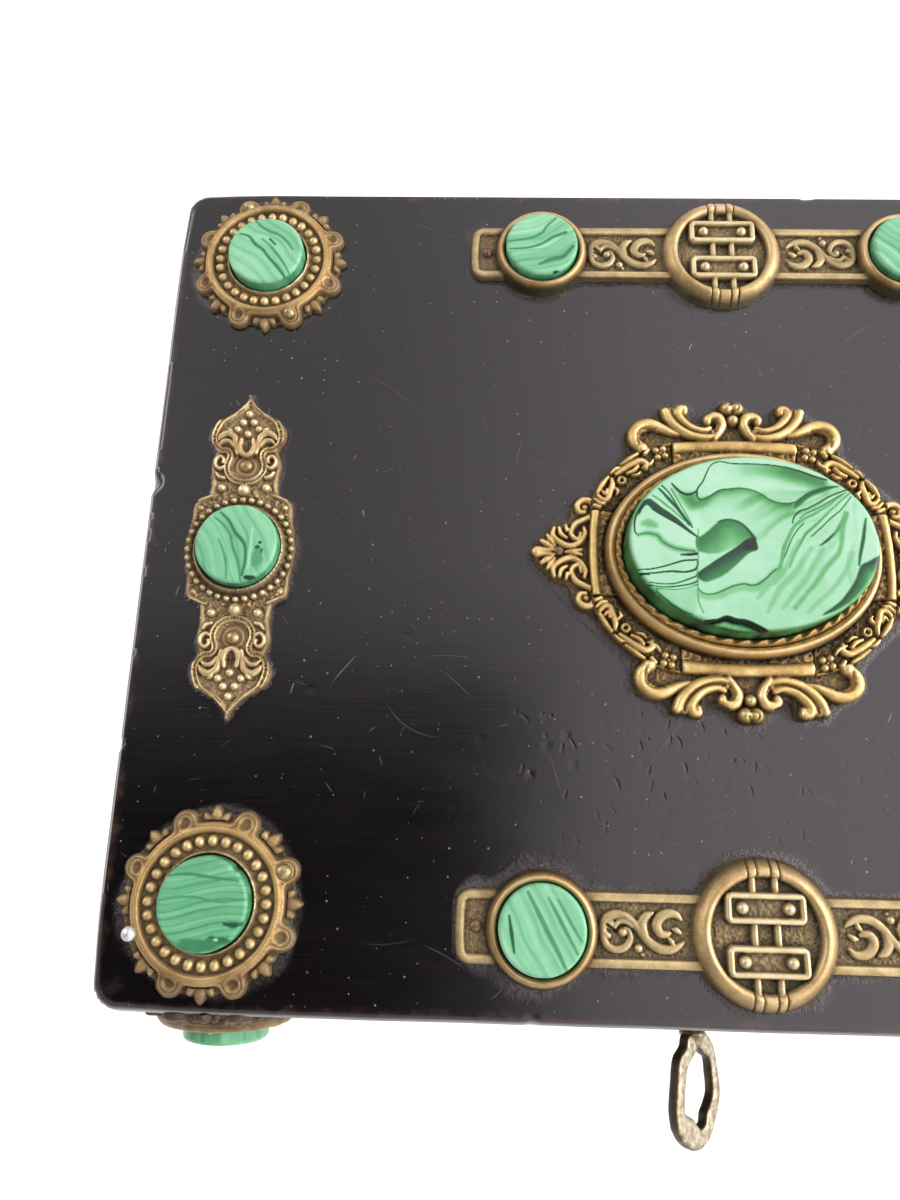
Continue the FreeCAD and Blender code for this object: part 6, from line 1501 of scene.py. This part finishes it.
# tone of each row: the bow's faces lighter and its side walls darker, wear on the faces and painted shade on the walls
face = np.array([0.55, 0.6, 0.6, 0.5, 0.25, -0.3, -0.5, -0.5, -0.3, 0.2, 0.2, -0.3, -0.5, -0.5, -0.35, 0.2])
bow = (rows.reshape(-1, 3), bow_q, [], 0, {"wear": np.repeat(face, NB)})


def along(x, y, h):
    return key_place(x, h, y)


shank_prof = [(0.0, 79.0), (0.95, 79.0), (1.0, 75.9), (1.25, 75.6), (1.85, 75.65), (2.0, 75.9), (2.0, 92.6), (2.25, 92.9), (2.5, 93.4), (2.5, 93.9), (2.25, 94.3), (2.05, 94.6), (2.05, 94.9), (2.5, 95.1), (2.9, 95.7), (2.9, 96.3), (2.5, 96.9), (2.2, 97.4), (1.9, 98.6), (0.0, 98.7)]
v, qd, tr = lathe(shank_prof, 28, along)
shank = (v, qd, tr, 0, {"wear": 0.3})
bx0, bx1, by0, by1, bz0, bz1, bv = -0.7, 0.7, 76.6, 79.2, -5.8, -1.5, 0.15
cv = [(t, s_, w) for w, k in ((bz0, bv), (bz0 + bv, 0.0), (bz1, 0.0)) for t, s_ in ((bx0 + k, by0 + k), (bx1 - k, by0 + k), (bx1 - k, by1 - k), (bx0 + k, by1 - k))]
cv = np.array(cv)
bq = [(0, 3, 2, 1), (8, 9, 10, 11)] + [(4 * r + i, 4 * r + (i + 1) % 4, 4 * (r + 1) + (i + 1) % 4, 4 * (r + 1) + i) for r in (0, 1) for i in range(4)]
bit = (key_place(cv[:, 0], cv[:, 1], cv[:, 2]), np.array(bq), [], 0, {"wear": 0.1})
show(join_parts("key_worn", [bow, shank, bit]), M_KEY, "key", "key")

# ---------------------------------------------------------------- CAD pieces that stay
for name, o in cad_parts.items():
    if name.startswith(("body_front", "body_back", "body_left", "body_right", "base_board", "lid_front", "lid_back", "lid_left", "lid_right")):
        m = M_WOOD
    elif name == "lid_top":
        m = M_LID
    elif name in ("bolt_spring", "lock_bolt", "drill_pin") or name.endswith("_pin") or "screws" in name:
        m = M_STEEL
    elif name == "key":
        m = M_KEY
    elif name.startswith(("hinge", "lock", "link", "escutcheon")):
        m = M_LOCKB
    elif "lining" in name or "pad" in name:
        m = M_CARD
    else:
        m = M_BRASS
    o.data.materials.clear()
    o.data.materials.append(m)

# ---------------------------------------------------------------- floor, light, camera
scene = bpy.context.scene
g = Graph("pale_floor")
g.set(Base_Color=(0.55, 0.55, 0.55, 1.0), Roughness=0.9, Emission_Color=(1.0, 1.0, 1.0, 1.0), Emission_Strength=0.72)
fl = bpy.data.meshes.new("floor")
fl.from_pydata([(-4, -4, -0.0005), (4, -4, -0.0005), (4, 4, -0.0005), (-4, 4, -0.0005)], [], [(0, 1, 2, 3)])
floor = bpy.data.objects.new("floor", fl)
scene.collection.objects.link(floor)
fl.materials.append(g.mat)

world = bpy.data.worlds.new("studio")
scene.world = world
world.use_nodes = True
nt = world.node_tree
bg = nt.nodes["Background"]
tc = nt.nodes.new("ShaderNodeTexCoord")
sep = nt.nodes.new("ShaderNodeSeparateXYZ")
nt.links.new(tc.outputs["Generated"], sep.inputs[0])


def wmath(op, a, b=None, c=None):
    n = nt.nodes.new("ShaderNodeMath")
    n.operation = op
    for k, v in enumerate((a, b, c)):
        if isinstance(v, bpy.types.NodeSocket):
            nt.links.new(v, n.inputs[k])
        elif v is not None:
            n.inputs[k].default_value = v
    return n.outputs[0]


def wstep(v, a, b, lo=0.0, hi=1.0):
    n = nt.nodes.new("ShaderNodeMapRange")
    n.interpolation_type = "SMOOTHSTEP"
    nt.links.new(v, n.inputs["Value"])
    for k, x in zip(("From Min", "From Max", "To Min", "To Max"), (a, b, lo, hi)):
        n.inputs[k].default_value = x
    return n.outputs[0]


# a broad soft light overhead, to the right and behind; the quarter in front and to the left stays dim
dx, dy, dz = sep.outputs
lit = wmath("MAXIMUM", wstep(dx, 0.0, 0.12), wstep(dy, 0.06, 0.26))
lit = wmath("MAXIMUM", lit, wstep(dz, 0.80, 0.45))
level = wmath("MULTIPLY_ADD", wstep(dx, -0.25, 0.40), 1.0, 0.77)
behind = wstep(dy, 0.18, 0.5)
level = wmath("MULTIPLY", level, wmath("SUBTRACT", 1.0, wmath("MULTIPLY", wmath("MULTIPLY", wstep(dx, 0.15, 0.5), behind), 0.16)))
level = wmath("ADD", level, wmath("MULTIPLY", wmath("MULTIPLY", wstep(dx, 0.35, 0.6), wmath("SUBTRACT", 1.0, behind)), 0.14))
level = wmath("MULTIPLY", level, wstep(dz, 0.0, 0.75, 0.62, 1.0))
level = wmath("MULTIPLY_ADD", wmath("MULTIPLY", lit, level), 0.995, 0.005)
comb = nt.nodes.new("ShaderNodeCombineColor")
for k in range(3):
    nt.links.new(level, comb.inputs[k])
nt.links.new(comb.outputs[0], bg.inputs["Color"])
bg.inputs["Strength"].default_value = 1.0


def panel(name, loc, aim, size, power):
    d = bpy.data.lights.new(name, "AREA")
    d.shape = "RECTANGLE"
    d.size, d.size_y = size
    d.energy = power
    o = bpy.data.objects.new(name, d)
    z = (np.array(loc) - np.array(aim)).astype(float)
    z /= np.linalg.norm(z)
    x = np.cross((0, 1, 0.01), z)
    x /= np.linalg.norm(x)
    y = np.cross(z, x)
    m = np.eye(4)
    m[:3, 0], m[:3, 1], m[:3, 2], m[:3, 3] = x, y, z, loc
    o.matrix_world = Matrix(m.tolist())
    scene.collection.objects.link(o)
    return o


panel("soft_right", (1.38, 0.10, 0.70), (0.0, 0.0, 0.1), (0.8, 1.2), 22.0)
panel("soft_left", (-1.1, 0.5, 0.9), (0.0, 0.0, 0.1), (0.6, 1.0), 7.0)

cam = bpy.data.cameras.new("photo_camera")
co = bpy.data.objects.new("photo_camera", cam)
R = [[0.99949629, -0.01808199, 0.02608097], [0.0241803, 0.96615702, -0.25681884], [-0.02055452, 0.25732013, 0.96610758]]
m = np.eye(4)
m[:3, :3] = R
m[:3, 3] = (-0.049686, -0.049313, 0.26235)
co.matrix_world = Matrix(m.tolist())
cam.sensor_fit = "AUTO"
cam.sensor_width = 36.0
cam.lens = 840.27 / 1200.0 * 36.0
cam.shift_x = -(460.38 - 450.0) / 1200.0
cam.shift_y = (591.70 - 600.0) / 1200.0
cam.clip_start = 0.01
cam.clip_end = 30.0
scene.collection.objects.link(co)
scene.camera = co
scene.view_settings.view_transform = "Standard"
